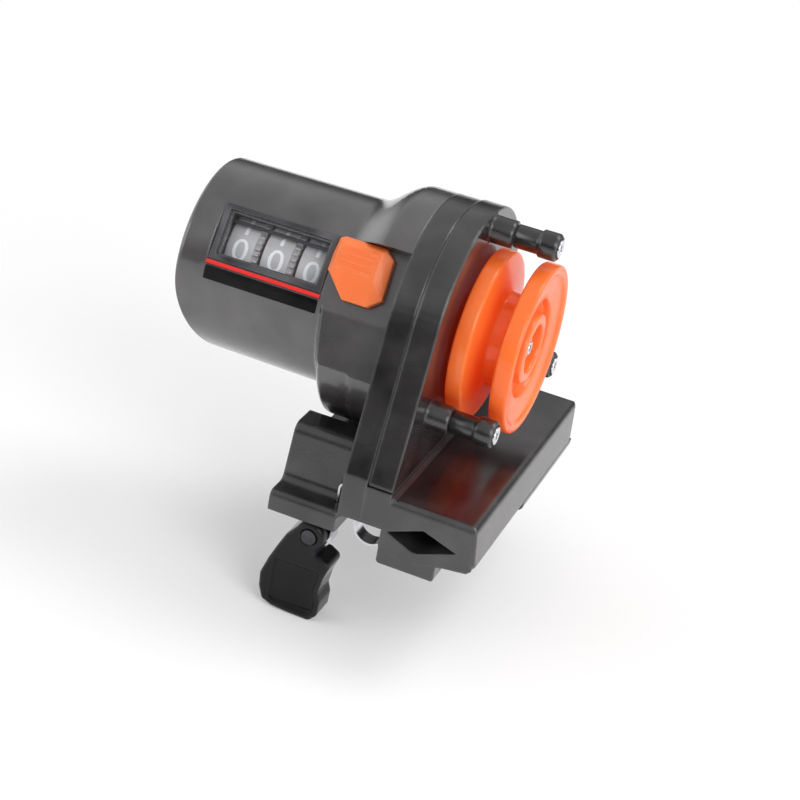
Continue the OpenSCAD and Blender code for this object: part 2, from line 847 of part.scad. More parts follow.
module transfer_shaft() {
  color("#b9bcc0")
    on_panel()
      rod_x(ear_x0, ear_x1, 0.8, -transfer_n, transfer_v);
}

module transfer_pinion(x) {
  color("#8c9094")
    on_panel()
      difference() {
        gear_at(x + number_w / 2 - ring_w + 0.1, x + number_w / 2 + 0.6, [transfer_n, transfer_v],
          transfer_m, transfer_pinion_z, transfer_ang + 180);
        rod_x(x, x + number_w, 0.8 + run_gap, -transfer_n, transfer_v);
      }
}

module tens_pinion() {
  transfer_pinion(wheel_xs[1]);
}

module hundreds_pinion() {
  transfer_pinion(wheel_xs[2]);
}

bush_r = shaft_d / 2 + 1;
shaft_x0 = first_x0 - 0.2;
bore_x1 = wheel_x1 - 3.2;

module wheel_shaft() {
  color("#c2c5c9")
    on_axis()
      difference() {
        union() {
          rod_x(shaft_x0, mid_x0, drive_bore_r);
          rod_x(mid_x0 - 0.6, bore_x1, shaft_d / 2);
          rod_x(plate_x1 + 0.1, wheel_x0, shaft_d / 2 + 1);
        }
        rod_x(bore_x1 - 6, bore_x1 + 1, 0.9);
      }
}

module shaft_bushes() {
  color("#b08d4a")
    on_axis()
      difference() {
        union() {
          rod_x(mid_x0, mid_x0 + 2.5, bush_r);
          rod_x(plate_x1 - 2.5, plate_x1, bush_r);
        }
        rod_x(mid_x0 - 1, plate_x1 + 1, shaft_d / 2 + run_gap);
      }
}

// Small gear on the wheel shaft's end, turned to mesh with the first gear at 180 degrees
module drive_pinion() {
  color("#8c9094")
    on_panel()
      difference() {
        gear_at(first_x0, train_x, [0, 0], gear_m, pinion_z, 180);
        rod_x(first_x0 - 1, train_x + 1, drive_bore_r);
      }
}

drive_bore_r = 0.9;
first_to_second = atan2(second_nv[1] - first_nv[1], second_nv[0] - first_nv[0]);
second_to_out = atan2(-second_nv[1], number_n - second_nv[0]);

// Compound gear: a large wheel with a small one on its left side
module compound_gear(x0, small_x0, nv, z, ph, small_ph) {
  color("#d8d4c4")
    on_panel()
      difference() {
        union() {
          gear_at(x0, x0 + big_w, nv, gear_m, z, ph);
          gear_at(small_x0, x0 + e, nv, gear_m, pinion_z, small_ph);
        }
        rod_x(small_x0 - 1, x0 + big_w + 1, gear_pin_d / 2 + run_gap, -nv[0], nv[1]);
      }
}

module first_gear() {
  compound_gear(first_x0, second_x0 - 0.2, first_nv, first_z, 180 / first_z, first_to_second);
}

module second_gear() {
  compound_gear(second_x0, output_x0 - 0.2, second_nv, second_z,
    first_to_second + 180 + 180 / second_z, second_to_out);
}

module output_gear() {
  color("#d8d4c4")
    on_panel()
      difference() {
        gear_at(output_x0, output_x1, [number_n, 0], gear_m, output_z, second_to_out + 180 + 180 / output_z);
        rod_x(output_x0 - 1, output_x1 + 1, number_shaft_d / 2, -number_n, 0);
      }
}

module gear_pins() {
  color("#b9bcc0")
    on_panel() {
      rod_x(second_x0 - 0.6, mid_x0 + 2.8, gear_pin_d / 2, -first_nv[0], first_nv[1]);
      rod_x(output_x0 - 0.6, mid_x0 + 2.8, gear_pin_d / 2, -second_nv[0], second_nv[1]);
    }
}

// Half-section of the measuring wheel as (radius, x) points from the left face
module wheel_profile_2d() {
  r = wheel_d / 2;
  rd = drum_d / 2;
  mouth = 6;
  x1 = wheel_w;
  g1 = x1 - rim_w;
  g0 = g1 - mouth;
  d0 = g0 + (mouth - drum_w) / 2;
  polygon([
    [shaft_d / 2, 0], [6.5, 0], [7, 1.2], [r - 2.6, 1.2], [r - 1.8, 0.4], [r - 0.4, 0], [r, 0.4],
    [r, g0 - 0.3], [r - 0.4, g0], [r - 1.6, g0 + 0.3], [rd + 0.6, d0], [rd, d0 + 0.4],
    [rd, d0 + drum_w - 0.4], [rd + 0.6, d0 + drum_w], [r - 1.6, g1 - 0.3], [r - 0.4, g1], [r, g1 + 0.3],
    [r, x1 - 0.4], [r - 0.4, x1], [r - 1.8, x1 - 0.2], [r - 2.4, x1 - 0.8], [r - 7.4, x1 - 1.3],
    [r - 7.8, x1 - 3], [7.7, x1 - 3], [7.4, x1 - 1], [5.5, x1 - 0.8], [5.1, x1 - 1.2],
    [5, x1 - 3.2], [shaft_d / 2, x1 - 3.2]
  ]);
}

module measuring_wheel() {
  color("#ff5a1f")
    on_axis()
      translate([wheel_x0, 0, 0])
        turn_x()
          wheel_profile_2d();
}

module wheel_washer() {
  color("#c9ccd0")
    on_axis()
      difference() {
        rod_x(bore_x1, bore_x1 + 0.5, 3.4);
        rod_x(bore_x1 - 1, bore_x1 + 1, 1);
      }
}

module wheel_screw() {
  color("#d4d6d9")
    on_axis()
      difference() {
        union() {
          rod_x(bore_x1 - 5.5, bore_x1 + 0.6, 0.9);
          rod_x(bore_x1 + 0.5, bore_x1 + 1.3, 1.9);
          rod_x(bore_x1 + 1.2, bore_x1 + 1.6, 1.4);
        }
        cross_recess(bore_x1 + 1.6);
      }
}

// Cross recess of a screw head whose face is at x1
module cross_recess(x1, y = 0, z = 0) {
  for (a = [30, 120])
    translate([x1 - 0.45, y, z])
      rotate([a, 0, 0])
        translate([0, -1.1, -0.25])
          cube([1, 2.2, 0.5]);
}

// Roller of a guide post: thin sleeve with a thick end collar, bored for the post screw
module guide_roller(a) {
  x0 = plate_x1 + post_boss_l + 0.2;
  x1 = wheel_x1 - 0.1;
  y = post_circle_r * cos(a);
  z = post_circle_r * sin(a);
  color("#2a2a2d")
    on_axis()
      difference() {
        translate([0, y, z])
          turn_x()
            polygon([[0, x0], [sleeve_d / 2, x0], [sleeve_d / 2, x1 - collar_l - 0.3],
              [collar_d / 2, x1 - collar_l], [collar_d / 2, x1 - 0.5], [collar_d / 2 - 0.5, x1], [0, x1]]);
        rod_x(x0 - 1, x1 + 1, post_pin_d / 2 + run_gap, y, z);
        rod_x(x1 - 0.8, x1 + 1, 2.15, y, z);
      }
}

module upper_roller() {
  guide_roller(post_angles[0]);
}

module front_roller() {
  guide_roller(post_angles[1]);
}

module rear_roller() {
  guide_roller(post_angles[2]);
}

module post_screws() {
  x1 = wheel_x1 - 0.1;
  color("#d4d6d9")
    on_axis()
      for (a = post_angles)
        translate([0, post_circle_r * cos(a), post_circle_r * sin(a)])
          difference() {
            union() {
              rod_x(mid_x1 - 3.4, x1 - 0.6, post_pin_d / 2);
              rod_x(x1 - 0.65, x1 + 0.25, 1.9);
            }
            cross_recess(x1 + 0.25);
          }
}

// Plan of the slider in (x, v)
module slider_2d() {
  x1 = slider_x0 + slider_l;
  polygon([
    [slider_x0, slider_v0 + 4.9], [slider_x0 + 3, slider_v0 + 1.8], [slider_x0 + 4.7, slider_v0], [x1 - 2.6, slider_v0],
    [x1, slider_v0 + 2.2], [x1 - 0.4, slider_v1 - 1.8], [x1 - 2.4, slider_v1], [slider_x0 + 1.4, slider_v1],
    [slider_x0 + 0.3, slider_v1 - 0.7], [slider_x0, slider_v1 - 4.2]
  ]);
}

module reset_slider() {
  px0 = slider_x0 + 1.3;
  px1 = slider_x0 + slider_l - 2.5;
  pv0 = slider_v1 - 7.6;
  pv1 = slider_v1 - 0.9;
  base_n = panel_n + 0.1;
  top_n = panel_n + slider_rise;
  color("#ff6a22")
    on_panel() {
      hull() {
        translate([0, -base_n, 0])
          rotate([90, 0, 0])
            linear_extrude(1.6)
              slider_2d();
        panel_box(px0 - 0.4, px1 + 0.4, top_n - 1.2, top_n - 0.8, pv0 - 0.2, pv1 + 0.2);
        panel_box(px0, px1, top_n - 0.6, top_n - 0.3, pv0 + 0.3, pv1 - 0.3);
      }
      // Low rounded ribs along the barrel that the thumb pushes
      for (i = [0:3])
        translate([px0 + 0.6, -(top_n - 0.55), pv0 + 1.3 + i * 1.45])
          rotate([0, 90, 0])
            cylinder(h = px1 - px0 - 1.2, r = 0.55, $fn = 16);
      // Stem through the panel
      panel_box(stem_x0, stem_x0 + stem_w, panel_in - fit_gap - retainer_t - 0.3, base_n + 0.5, stem_v0, stem_v0 + stem_h);
    }
}

module reset_retainer() {
  n1 = panel_in - fit_gap;
  color("#3c3c40")
    on_panel()
      difference() {
        union() {
          panel_box(retainer_x0, retainer_x0 + retainer_w, n1 - retainer_t, n1, stem_v0 - 1.2, stem_v0 + stem_h + 0.8);
          panel_box(retainer_x0 + 0.3, retainer_x0 + retainer_w - 0.3, spring_n - 1.4, n1, stem_v0 - 1.2, stem_v0 - 0.2);
        }
        panel_box(stem_x0, stem_x0 + stem_w, n1 - retainer_t - 1, n1 + 1, stem_v0, stem_v0 + stem_h);
      }
}

// Compression spring of the slider: one wire wound in spring_turns turns
module reset_spring() {
  length = stem_v0 - 1.2 - shelf_v1 - 0.1;
  steps = 10;
  sides = 5;
  total = spring_turns * steps;
  wire_r = spring_wire / 2;
  rise = (length - spring_wire) / total;
  points = [for (i = [0:total]) for (j = [0:sides - 1])
    let (a = 360 * i / steps, b = 360 * j / sides, r = spring_r + wire_r * cos(b))
      [r * cos(a), r * sin(a), i * rise + wire_r + wire_r * sin(b)]];
  walls = [for (i = [0:total - 1]) for (j = [0:sides - 1])
    let (k = (j + 1) % sides)
      [i * sides + j, i * sides + k, (i + 1) * sides + k, (i + 1) * sides + j]];
  tris = [for (w = walls) each [[w[0], w[2], w[1]], [w[0], w[3], w[2]]]];
  ends = [[for (j = [0:sides - 1]) j], [for (j = [sides - 1:-1:0]) total * sides + j]];
  color("#b9bcc0")
    on_panel()
      translate([stem_x0 + stem_w / 2, -spring_n, shelf_v1 + 0.05])
        polyhedron(points, concat(tris, ends));
}

// Outline of the lever in (x, z) around its pin
module lever_2d() {
  offset(r = 1.2)
    offset(delta = -1.2)
      polygon([
        [-2.4, 2.1], [-4.9, -1.1], [-6.4, -4.4], [-7.9, -8], [-9.2, -12], [-9, -15], [-8, -17.8], [-5.6, -18.8],
        [-2, -19.1], [3, -19.2], [4.5, -17.6], [4.6, -14.4], [3.9, -12.3], [4.4, -8.9], [5.6, -5.2], [3.3, -3.9],
        [1.6, -3.6], [2, -2]
      ]);
}

module clamp_lever() {
  color("#18181a")
    translate([hub_x, 0, hub_z])
      difference() {
        union() {
          rod_y(-lever_front, hub_half, hub_r);
          push_y(-lever_front, hub_half)
            lever_2d();
        }
        // Recessed faces of the paddle
        for (y = [-lever_front, hub_half])
          push_y(y - 0.7, y + 0.7)
            offset(r = -1.1)
              intersection() {
                lever_2d();
                translate([-7.6, -24])
                  square([20, 17.6]);
              }
        rod_y(-lever_front - 1, hub_half + 1, lever_pin_d / 2 + run_gap);
        rod_y(-lever_front - 1, -lever_front + 0.7, pin_head_r + 0.15);
      }
}

module lever_pin() {
  color("#3a3a3d") {
    rod_y(-lever_front + 0.1, hub_half + lug_gap + lug_t, lever_pin_d / 2, hub_x, hub_z);
    rod_y(-lever_front, -lever_front + 0.5, pin_head_r, hub_x, hub_z);
  }
}

module strap_screw() {
  color("#d4d6d9") {
    rod_x(rib_x1 - 4, tab_x + strap_t / 2 + 0.1, 0.75, 0, tab_screw_z);
    rod_x(tab_x + strap_t / 2, tab_x + strap_t / 2 + 0.6, 1.1, 0, tab_screw_z);
  }
}

module case_screws() {
  color("#b8babd") {
    case_screw_holes(mid_x0 - 4.4, mid_x1 - 1.5, 0.9);
    case_screw_holes(mid_x1 - 1.6, mid_x1 - 0.4, 1.9);
  }
}

barrel_housing();
gear_frame();
wheel_plate();
right_base();
base_cover();
window_bezel();
window_lens();
index_strip();
counter_frame();
number_shaft();
metres_wheel();
tens_wheel();
hundreds_wheel();
transfer_shaft();
tens_pinion();
hundreds_pinion();
wheel_shaft();
shaft_bushes();
drive_pinion();
first_gear();
second_gear();
output_gear();
gear_pins();
measuring_wheel();
wheel_washer();
wheel_screw();
upper_roller();
front_roller();
rear_roller();
post_screws();
reset_slider();
reset_retainer();
reset_spring();
clamp_lever();
lever_pin();
clamp_strap();
strap_screw();
case_screws();
base_screws();
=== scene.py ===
import json
import logging
import math
from dataclasses import dataclass
from enum import Enum
from typing import Any

import bpy
from mathutils import Matrix, Vector


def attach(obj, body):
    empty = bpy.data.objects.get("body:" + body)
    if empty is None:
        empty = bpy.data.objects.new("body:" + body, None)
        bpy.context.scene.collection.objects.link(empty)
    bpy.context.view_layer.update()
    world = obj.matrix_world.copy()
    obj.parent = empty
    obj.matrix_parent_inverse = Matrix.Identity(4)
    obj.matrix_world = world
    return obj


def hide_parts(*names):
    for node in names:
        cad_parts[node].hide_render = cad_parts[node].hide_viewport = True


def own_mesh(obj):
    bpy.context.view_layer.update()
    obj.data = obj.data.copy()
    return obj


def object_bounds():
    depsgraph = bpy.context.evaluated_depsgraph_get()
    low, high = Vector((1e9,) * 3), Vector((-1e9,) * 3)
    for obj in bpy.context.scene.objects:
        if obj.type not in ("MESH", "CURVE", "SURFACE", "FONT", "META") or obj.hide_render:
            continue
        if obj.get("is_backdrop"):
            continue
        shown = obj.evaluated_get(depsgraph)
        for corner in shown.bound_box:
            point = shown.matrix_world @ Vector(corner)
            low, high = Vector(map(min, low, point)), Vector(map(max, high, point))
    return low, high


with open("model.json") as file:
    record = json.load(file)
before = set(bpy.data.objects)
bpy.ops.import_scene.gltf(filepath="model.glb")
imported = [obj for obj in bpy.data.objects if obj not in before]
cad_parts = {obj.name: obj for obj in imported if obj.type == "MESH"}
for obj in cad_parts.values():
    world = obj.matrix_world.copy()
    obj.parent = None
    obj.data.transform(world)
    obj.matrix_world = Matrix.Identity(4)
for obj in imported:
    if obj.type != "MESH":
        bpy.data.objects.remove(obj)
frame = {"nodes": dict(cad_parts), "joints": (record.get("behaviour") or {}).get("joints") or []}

LOG = logging.getLogger("line_counter")
MM = 0.001
# How far the window's panel faces up from straight ahead.
PANEL_TILT = math.radians(31)
# Points of a new mesh that are nearer than this, in metres, are one point.
SAME_POINT = 1e-7
# A CAD node's corners that are nearer than this are joined for its live rounding.
JOIN_MM = 0.002
# Triangles of a CAD node that meet at less than this are one plane, in degrees.
FLAT_ANGLE = 0.5

# Lens and place of the photograph's view, for a square picture.
PHOTO_LENS_MM = 87.27
PHOTO_SENSOR_MM = 36.0
PHOTO_EYE = (0.09624, -0.32400, 0.19874)
PHOTO_TURN = (
    (0.91700754, -0.30794916, 0.25350442),
    (0.36059133, 0.36835907, -0.85690460),
    (0.17050239, 0.87719947, 0.44883184),
)

Colour = tuple[float, float, float, float]
Socket = bpy.types.NodeSocket


class Cut(Enum):
    """How a metal was finished, as the stretch of its marks along X, Y and Z.

    Rolled strip shows lines along X and Z, and a turned part shows lines round X.
    """

    PLATED = (1.0, 1.0, 1.0)
    ROLLED = (0.04, 1.0, 0.04)
    TURNED = (1.0, 0.08, 0.08)


def linear(code: str) -> Colour:
    """Turns an sRGB hex colour to linear light.

    Args:
        code: Six hex digits.

    Returns:
        Linear red, green, blue and an alpha of 1.
    """
    parts = [int(code[i : i + 2], 16) / 255 for i in (0, 2, 4)]
    red, green, blue = (
        c / 12.92 if c <= 0.04045 else ((c + 0.055) / 1.055) ** 2.4 for c in parts
    )
    return (red, green, blue, 1.0)


def add_node(
    tree: bpy.types.NodeTree,
    kind: str,
    settings: dict[str | int, Any] | None = None,
    links: dict[str | int, Socket] | None = None,
) -> bpy.types.Node:
    """Adds one node with its settings and links.

    Args:
        tree: The material's node tree.
        kind: The node's type name.
        settings: Values by property name, or by input name or number.
        links: Output sockets by input name or number.

    Returns:
        The new node.
    """
    node = tree.nodes.new(kind)
    for key, value in (settings or {}).items():
        if isinstance(key, str) and hasattr(node, key):
            setattr(node, key, value)
        else:
            node.inputs[key].default_value = value
    for key, output in (links or {}).items():
        tree.links.new(output, node.inputs[key])
    return node


def noise(
    tree: bpy.types.NodeTree, place: Socket, size_mm: float, detail: float, **more: float
) -> Socket:
    """Adds a cloudy pattern of a real size.

    Args:
        tree: The node tree.
        place: The point that the pattern is read at.
        size_mm: The size of its patches.
        detail: The number of finer layers in it.
        **more: Other inputs of the pattern, by name.

    Returns:
        The pattern's strength, mostly between 0.25 and 0.75.
    """
    settings = {"Scale": 1 / (size_mm * MM), "Detail": detail, **more}
    return add_node(tree, "ShaderNodeTexNoise", settings, {"Vector": place}).outputs["Fac"]


def remap(
    tree: bpy.types.NodeTree,
    value: Socket,
    start: tuple[float, float],
    end: tuple[float, float],
    **more: Any,
) -> Socket:
    """Adds a node that takes one range of values to another.

    Args:
        tree: The node tree.
        value: The value.
        start: The range that it comes in.
        end: The range that it leaves in.
        **more: Other settings of the node, by name.

    Returns:
        The new value.
    """
    settings = {
        "From Min": start[0],
        "From Max": start[1],
        "To Min": end[0],
        "To Max": end[1],
        **more,
    }
    return add_node(tree, "ShaderNodeMapRange", settings, {"Value": value}).outputs[0]


def calculate(
    tree: bpy.types.NodeTree, operation: str, *terms: float | Socket
) -> Socket:
    """Adds one step of arithmetic.

    Args:
        tree: The node tree.
        operation: The step's name in Blender.
        *terms: Its numbers or sockets, in their order.

    Returns:
        The result.
    """
    given = {n: term for n, term in enumerate(terms) if not isinstance(term, Socket)}
    linked = {n: term for n, term in enumerate(terms) if isinstance(term, Socket)}
    settings = {"operation": operation, **given}
    return add_node(tree, "ShaderNodeMath", settings, linked).outputs["Value"]


def mix_colours(
    tree: bpy.types.NodeTree, share: Socket, first: Colour | Socket, second: Colour
) -> Socket:
    """Mixes two colours.

    Args:
        tree: The node tree.
        share: The second colour's share, 0 to 1.
        first: The first colour.
        second: The second colour.

    Returns:
        The mixed colour.
    """
    # Of a mix node's inputs, the colours are numbers 6 and 7, and of its outputs 2.
    settings = {"data_type": "RGBA", 7: second}
    links = {0: share}
    if isinstance(first, Socket):
        links[6] = first
    else:
        settings[6] = first
    return add_node(tree, "ShaderNodeMix", settings, links).outputs[2]


def relief(
    tree: bpy.types.NodeTree,
    height: Socket,
    depth_mm: float,
    strength: float,
    **under: Socket,
) -> Socket:
    """Adds a fine relief to a surface.

    Args:
        tree: The node tree.
        height: The relief's pattern.
        depth_mm: Its real depth.
        strength: How much of it shows.
        **under: The normal that it lies on, as Normal.

    Returns:
        The normal with the relief.
    """
    return add_node(
        tree,
        "ShaderNodeBump",
        {"Strength": strength, "Distance": depth_mm * MM},
        {"Height": height, **under},
    ).outputs["Normal"]


def blank(name: str) -> bpy.types.Material:
    """Makes a material without nodes.

    Args:
        name: Its name.

    Returns:
        The material.
    """
    material = bpy.data.materials.new(name)
    material.use_nodes = True
    material.node_tree.nodes.clear()
    return material


def own_place(tree: bpy.types.NodeTree) -> Socket:
    """Gives the surface's point in the piece's own metres."""
    return add_node(tree, "ShaderNodeTexCoord").outputs["Object"]


def show(tree: bpy.types.NodeTree, surface: Socket) -> None:
    """Makes a shader the material's surface."""
    add_node(tree, "ShaderNodeOutputMaterial", {}, {"Surface": surface})


@dataclass(frozen=True)
class MouldedPlastic:
    """An injection moulded plastic with the mould's grain in its surface.

    The fine grain breaks the highlight, the slow tone change is the flow of the melt, and
    edges are a little smoother, as from rubbing, and painted lighter, as painted highlight and
    wear.
    """

    name: str
    colour: str
    edge_colour: str
    roughness: float
    grain_mm: float
    grain_depth_mm: float
    ior: float = 1.54
    shine: float = 0.5
    coat: float = 0.0
    coat_roughness: float = 0.12
    # Width of the rounded edge, which is painted lighter as painted highlight and wear, how
    # bent it has to be, and how much rubbing polishes it.
    rub_mm: float = 0.35
    rub_bend: tuple[float, float] = (0.995, 0.86)
    rub_polish: float = 0.12
    # Size of the melt's flow lines and of hand marks.
    flow_mm: float = 11.0
    flow_share: float = 0.3
    touch_mm: float = 2.4
    # How much rougher the surface is without and with a hand mark.
    touch_steps: tuple[float, float] = (-0.05, 0.07)
    # Share of the light that goes in and comes out near, how far it goes, and the share of
    # that way that red, green and blue make.
    glow: float = 0.0
    glow_mm: float = 1.5
    glow_reach: tuple[float, float, float] = (1.0, 0.35, 0.15)
    # Share of the light that passes a thin wall.
    through: float = 0.0
    # Painted glow: an emission of this colour and strength that keeps the plastic bright, also
    # in shade.
    dye: str = "000000"
    dye_glow: float = 0.0

    def rubbed_edges(
        self, tree: bpy.types.NodeTree, rounded: Socket, touch: Socket
    ) -> Socket:
        """Finds the edges, where a rounded normal leaves the face's own, for painted highlight
        and wear.

        Args:
            tree: The node tree.
            rounded: The rounded normal.
            touch: The pattern of hand marks, which breaks the edges up.

        Returns:
            1 on an edge with painted highlight and wear, and 0 away from it.
        """
        facing = add_node(tree, "ShaderNodeNewGeometry").outputs["Normal"]
        alike = add_node(
            tree,
            "ShaderNodeVectorMath",
            {"operation": "DOT_PRODUCT"},
            {0: rounded, 1: facing},
        ).outputs["Value"]
        edge = remap(tree, alike, self.rub_bend, (0.0, 1.0))
        return calculate(tree, "MULTIPLY", edge, touch)

    def build(self) -> bpy.types.Material:
        """Builds the node material.

        Returns:
            The finished material.
        """
        material = blank(self.name)
        tree = material.node_tree
        place = own_place(tree)
        grain = noise(tree, place, self.grain_mm, detail=3.0, Roughness=0.6)
        flow = noise(tree, place, self.flow_mm, detail=2.0, Distortion=0.4)
        touch = noise(tree, place, self.touch_mm, detail=5.0, Roughness=0.7)
        rounded = add_node(
            tree, "ShaderNodeBevel", {"samples": 4, "Radius": self.rub_mm * MM}
        ).outputs["Normal"]
        edge_highlight_and_wear = self.rubbed_edges(tree, rounded, touch)
        pale = linear(self.edge_colour)
        streaks = remap(tree, flow, (0.3, 0.75), (0.0, self.flow_share))
        melt = mix_colours(tree, streaks, linear(self.colour), pale)
        # Edges are painted pale: a painted highlight along them, and wear.
        colour = mix_colours(tree, edge_highlight_and_wear, melt, pale)
        smoother, rougher = (self.roughness + step for step in self.touch_steps)
        gloss = remap(tree, touch, (0.25, 0.75), (smoother, rougher))
        roughness = calculate(tree, "MULTIPLY_ADD", edge_highlight_and_wear, -self.rub_polish, gloss)
        bump = relief(tree, grain, self.grain_depth_mm, strength=1.0, Normal=rounded)
        surface = add_node(
            tree,
            "ShaderNodeBsdfPrincipled",
            {
                "IOR": self.ior,
                "Specular IOR Level": self.shine,
                "Subsurface Weight": self.glow,
                "Subsurface Radius": self.glow_reach,
                "Subsurface Scale": self.glow_mm * MM,
                "Coat Weight": self.coat,
                "Coat Roughness": self.coat_roughness,
                # The emission is a painted glow, which keeps the plastic bright in shade.
                "Emission Color": linear(self.dye),
                "Emission Strength": self.dye_glow,
            },
            {"Base Color": colour, "Roughness": roughness, "Normal": bump},
        ).outputs["BSDF"]
        if self.through > 0:
            # Light that falls on one side of a thin wall comes out of the other.
            passed = add_node(
                tree, "ShaderNodeBsdfTranslucent", {}, {"Color": colour, "Normal": bump}
            ).outputs["BSDF"]
            surface = add_node(
                tree,
                "ShaderNodeMixShader",
                {0: self.through},
                {1: surface, 2: passed},
            ).outputs["Shader"]
        show(tree, surface)
        return material


@dataclass(frozen=True)
class Metal:
    """A metal with the fine marks of its last work and a slight haze."""

    name: str
    colour: str
    roughness: float
    cut: Cut
    mark_mm: float
    mark_depth_mm: float = 0.006
    haze_mm: float = 1.6
    haze_colour: str = "8f9093"
    haze_share: float = 0.35
    # Factors on the roughness, in the clearest spots and in the haziest.
    haze_factors: tuple[float, float] = (0.8, 1.3)

    def build(self) -> bpy.types.Material:
        """Builds the node material.

        Returns:
            The finished material.
        """
        material = blank(self.name)
        tree = material.node_tree
        place = own_place(tree)
        stretched = add_node(
            tree, "ShaderNodeMapping", {"Scale": self.cut.value}, {"Vector": place}
        ).outputs["Vector"]
        marks = noise(tree, stretched, self.mark_mm, detail=4.0)
        haze = noise(tree, place, self.haze_mm, detail=3.0)
        smoother, rougher = (self.roughness * factor for factor in self.haze_factors)
        gloss = remap(tree, haze, (0.3, 0.7), (smoother, rougher))
        share = calculate(tree, "MULTIPLY", haze, self.haze_share)
        tone = mix_colours(tree, share, linear(self.colour), linear(self.haze_colour))
        bump = relief(tree, marks, self.mark_depth_mm, strength=0.25)
        surface = add_node(
            tree,
            "ShaderNodeBsdfPrincipled",
            {"Metallic": 1.0},
            {"Base Color": tone, "Roughness": gloss, "Normal": bump},
        ).outputs["BSDF"]
        show(tree, surface)
        return material


@dataclass(frozen=True)
class ClearPane:
    """A clear acrylic pane, with a few faint wipe marks that break its reflection."""

    name: str
    colour: str
    ior: float
    wipe_mm: float = 3.0
    wipe_stretch: tuple[float, float, float] = (0.15, 1.0, 1.0)

    def build(self) -> bpy.types.Material:
        """Builds the node material.

        Returns:
            The finished material.
        """
        material = blank(self.name)
        tree = material.node_tree
        along = add_node(
            tree,
            "ShaderNodeMapping",
            {"Scale": self.wipe_stretch},
            {"Vector": own_place(tree)},
        ).outputs["Vector"]
        wipes = noise(tree, along, self.wipe_mm, detail=6.0, Roughness=0.75)
        gloss = remap(tree, wipes, (0.4, 0.8), (0.02, 0.07))
        through = add_node(
            tree, "ShaderNodeBsdfTransparent", {"Color": linear(self.colour)}
        ).outputs["BSDF"]
        mirror = add_node(
            tree,
            "ShaderNodeBsdfAnisotropic",
            {"Color": linear("ffffff")},
            {"Roughness": gloss},
        ).outputs["BSDF"]
        shine = add_node(tree, "ShaderNodeFresnel", {"IOR": self.ior}).outputs["Fac"]
        # Only the pane's outer faces mirror, or the light inside it would be caught.
        back = add_node(tree, "ShaderNodeNewGeometry").outputs["Backfacing"]
        outside = calculate(tree, "SUBTRACT", 1.0, back)
        outer_shine = calculate(tree, "MULTIPLY", shine, outside)
        surface = add_node(
            tree, "ShaderNodeMixShader", {}, {0: outer_shine, 1: through, 2: mirror}
        ).outputs["Shader"]
        show(tree, surface)
        return material


@dataclass(frozen=True)
class PrintedInk:
    """Pad printed ink: flat colour with a slightly uneven film."""

    name: str
    colour: str
    thin_colour: str
    roughness: float
    film_mm: float = 0.5
    film_depth_mm: float = 0.01

    def build(self) -> bpy.types.Material:
        """Builds the node material.

        Returns:
            The finished material.
        """
        material = blank(self.name)
        tree = material.node_tree
        film = noise(tree, own_place(tree), self.film_mm, detail=3.0)
        thin = remap(tree, film, (0.45, 0.8), (0.0, 0.5))
        colour = mix_colours(tree, thin, linear(self.colour), linear(self.thin_colour))
        bump = relief(tree, film, self.film_depth_mm, strength=0.3)
        surface = add_node(
            tree,
            "ShaderNodeBsdfPrincipled",
            {"IOR": 1.5, "Roughness": self.roughness},
            {"Base Color": colour, "Normal": bump},
        ).outputs["BSDF"]
        show(tree, surface)
        return material


Finish = MouldedPlastic | Metal | ClearPane | PrintedInk

# ABS from a spark eroded mould: a charcoal whose grain breaks the highlights. The grain is
# drawn about three times coarser than real, so that it shows at this distance.
HOUSING_ABS = MouldedPlastic(
    name="charcoal_abs_spark_grain",
    colour="242123",
    edge_colour="6a6769",
    roughness=0.3,
    grain_mm=0.45,
    grain_depth_mm=0.03,
    shine=0.9,
    coat=1.0,
    rub_mm=0.6,
)
# ABS from a stoned mould: darker, with wider rounded edges that catch longer highlights, and a
# wider painted highlight along them.
PLATE_ABS = MouldedPlastic(
    name="black_abs_satin",
    colour="161415",
    edge_colour="5f5d5f",
    roughness=0.18,
    grain_mm=0.4,
    grain_depth_mm=0.014,
    shine=0.8,
    rub_mm=0.8,
)
# Acetal from a polished mould: nearly black and wet looking.
LEVER_ACETAL = MouldedPlastic(
    name="black_acetal_gloss",
    colour="070708",
    edge_colour="303034",
    roughness=0.11,
    grain_mm=1.2,
    grain_depth_mm=0.003,
    shine=0.22,
    coat=0.05,
    rub_mm=1.2,
)
# Polypropylene coloured through: light passes its thin flanges, and a painted glow keeps it
# vivid in shade.
WHEEL_PP = MouldedPlastic(
    name="orange_polypropylene",
    colour="f5803a",
    edge_colour="ffa850",
    roughness=0.22,
    grain_mm=0.5,
    grain_depth_mm=0.003,
    ior=1.49,
    coat=0.25,
    through=0.3,
    dye="ff4a10",
    dye_glow=0.16,
)
# The slider's plastic is paler and more matt than the wheel's.
SLIDER_PP = MouldedPlastic(
    name="orange_polypropylene_matt",
    colour="f2773a",
    edge_colour="ffa468",
    roughness=0.4,
    grain_mm=0.4,
    grain_depth_mm=0.01,
    ior=1.49,
    glow=0.4,
)
# Natural acetal: milky, slightly waxy light grey.
NUMBER_ACETAL = MouldedPlastic(
    name="natural_acetal",
    colour="c2bebe",
    edge_colour="dad8d9",
    roughness=0.34,
    grain_mm=0.6,
    grain_depth_mm=0.004,
    ior=1.48,
    glow=0.2,
    glow_mm=0.8,
)
# Gears of nylon: creamy and dull.
GEAR_NYLON = MouldedPlastic(
    name="cast_nylon",
    colour="cfc9b4",
    edge_colour="ddd8c6",
    roughness=0.5,
    grain_mm=0.5,
    grain_depth_mm=0.006,
    ior=1.53,
)
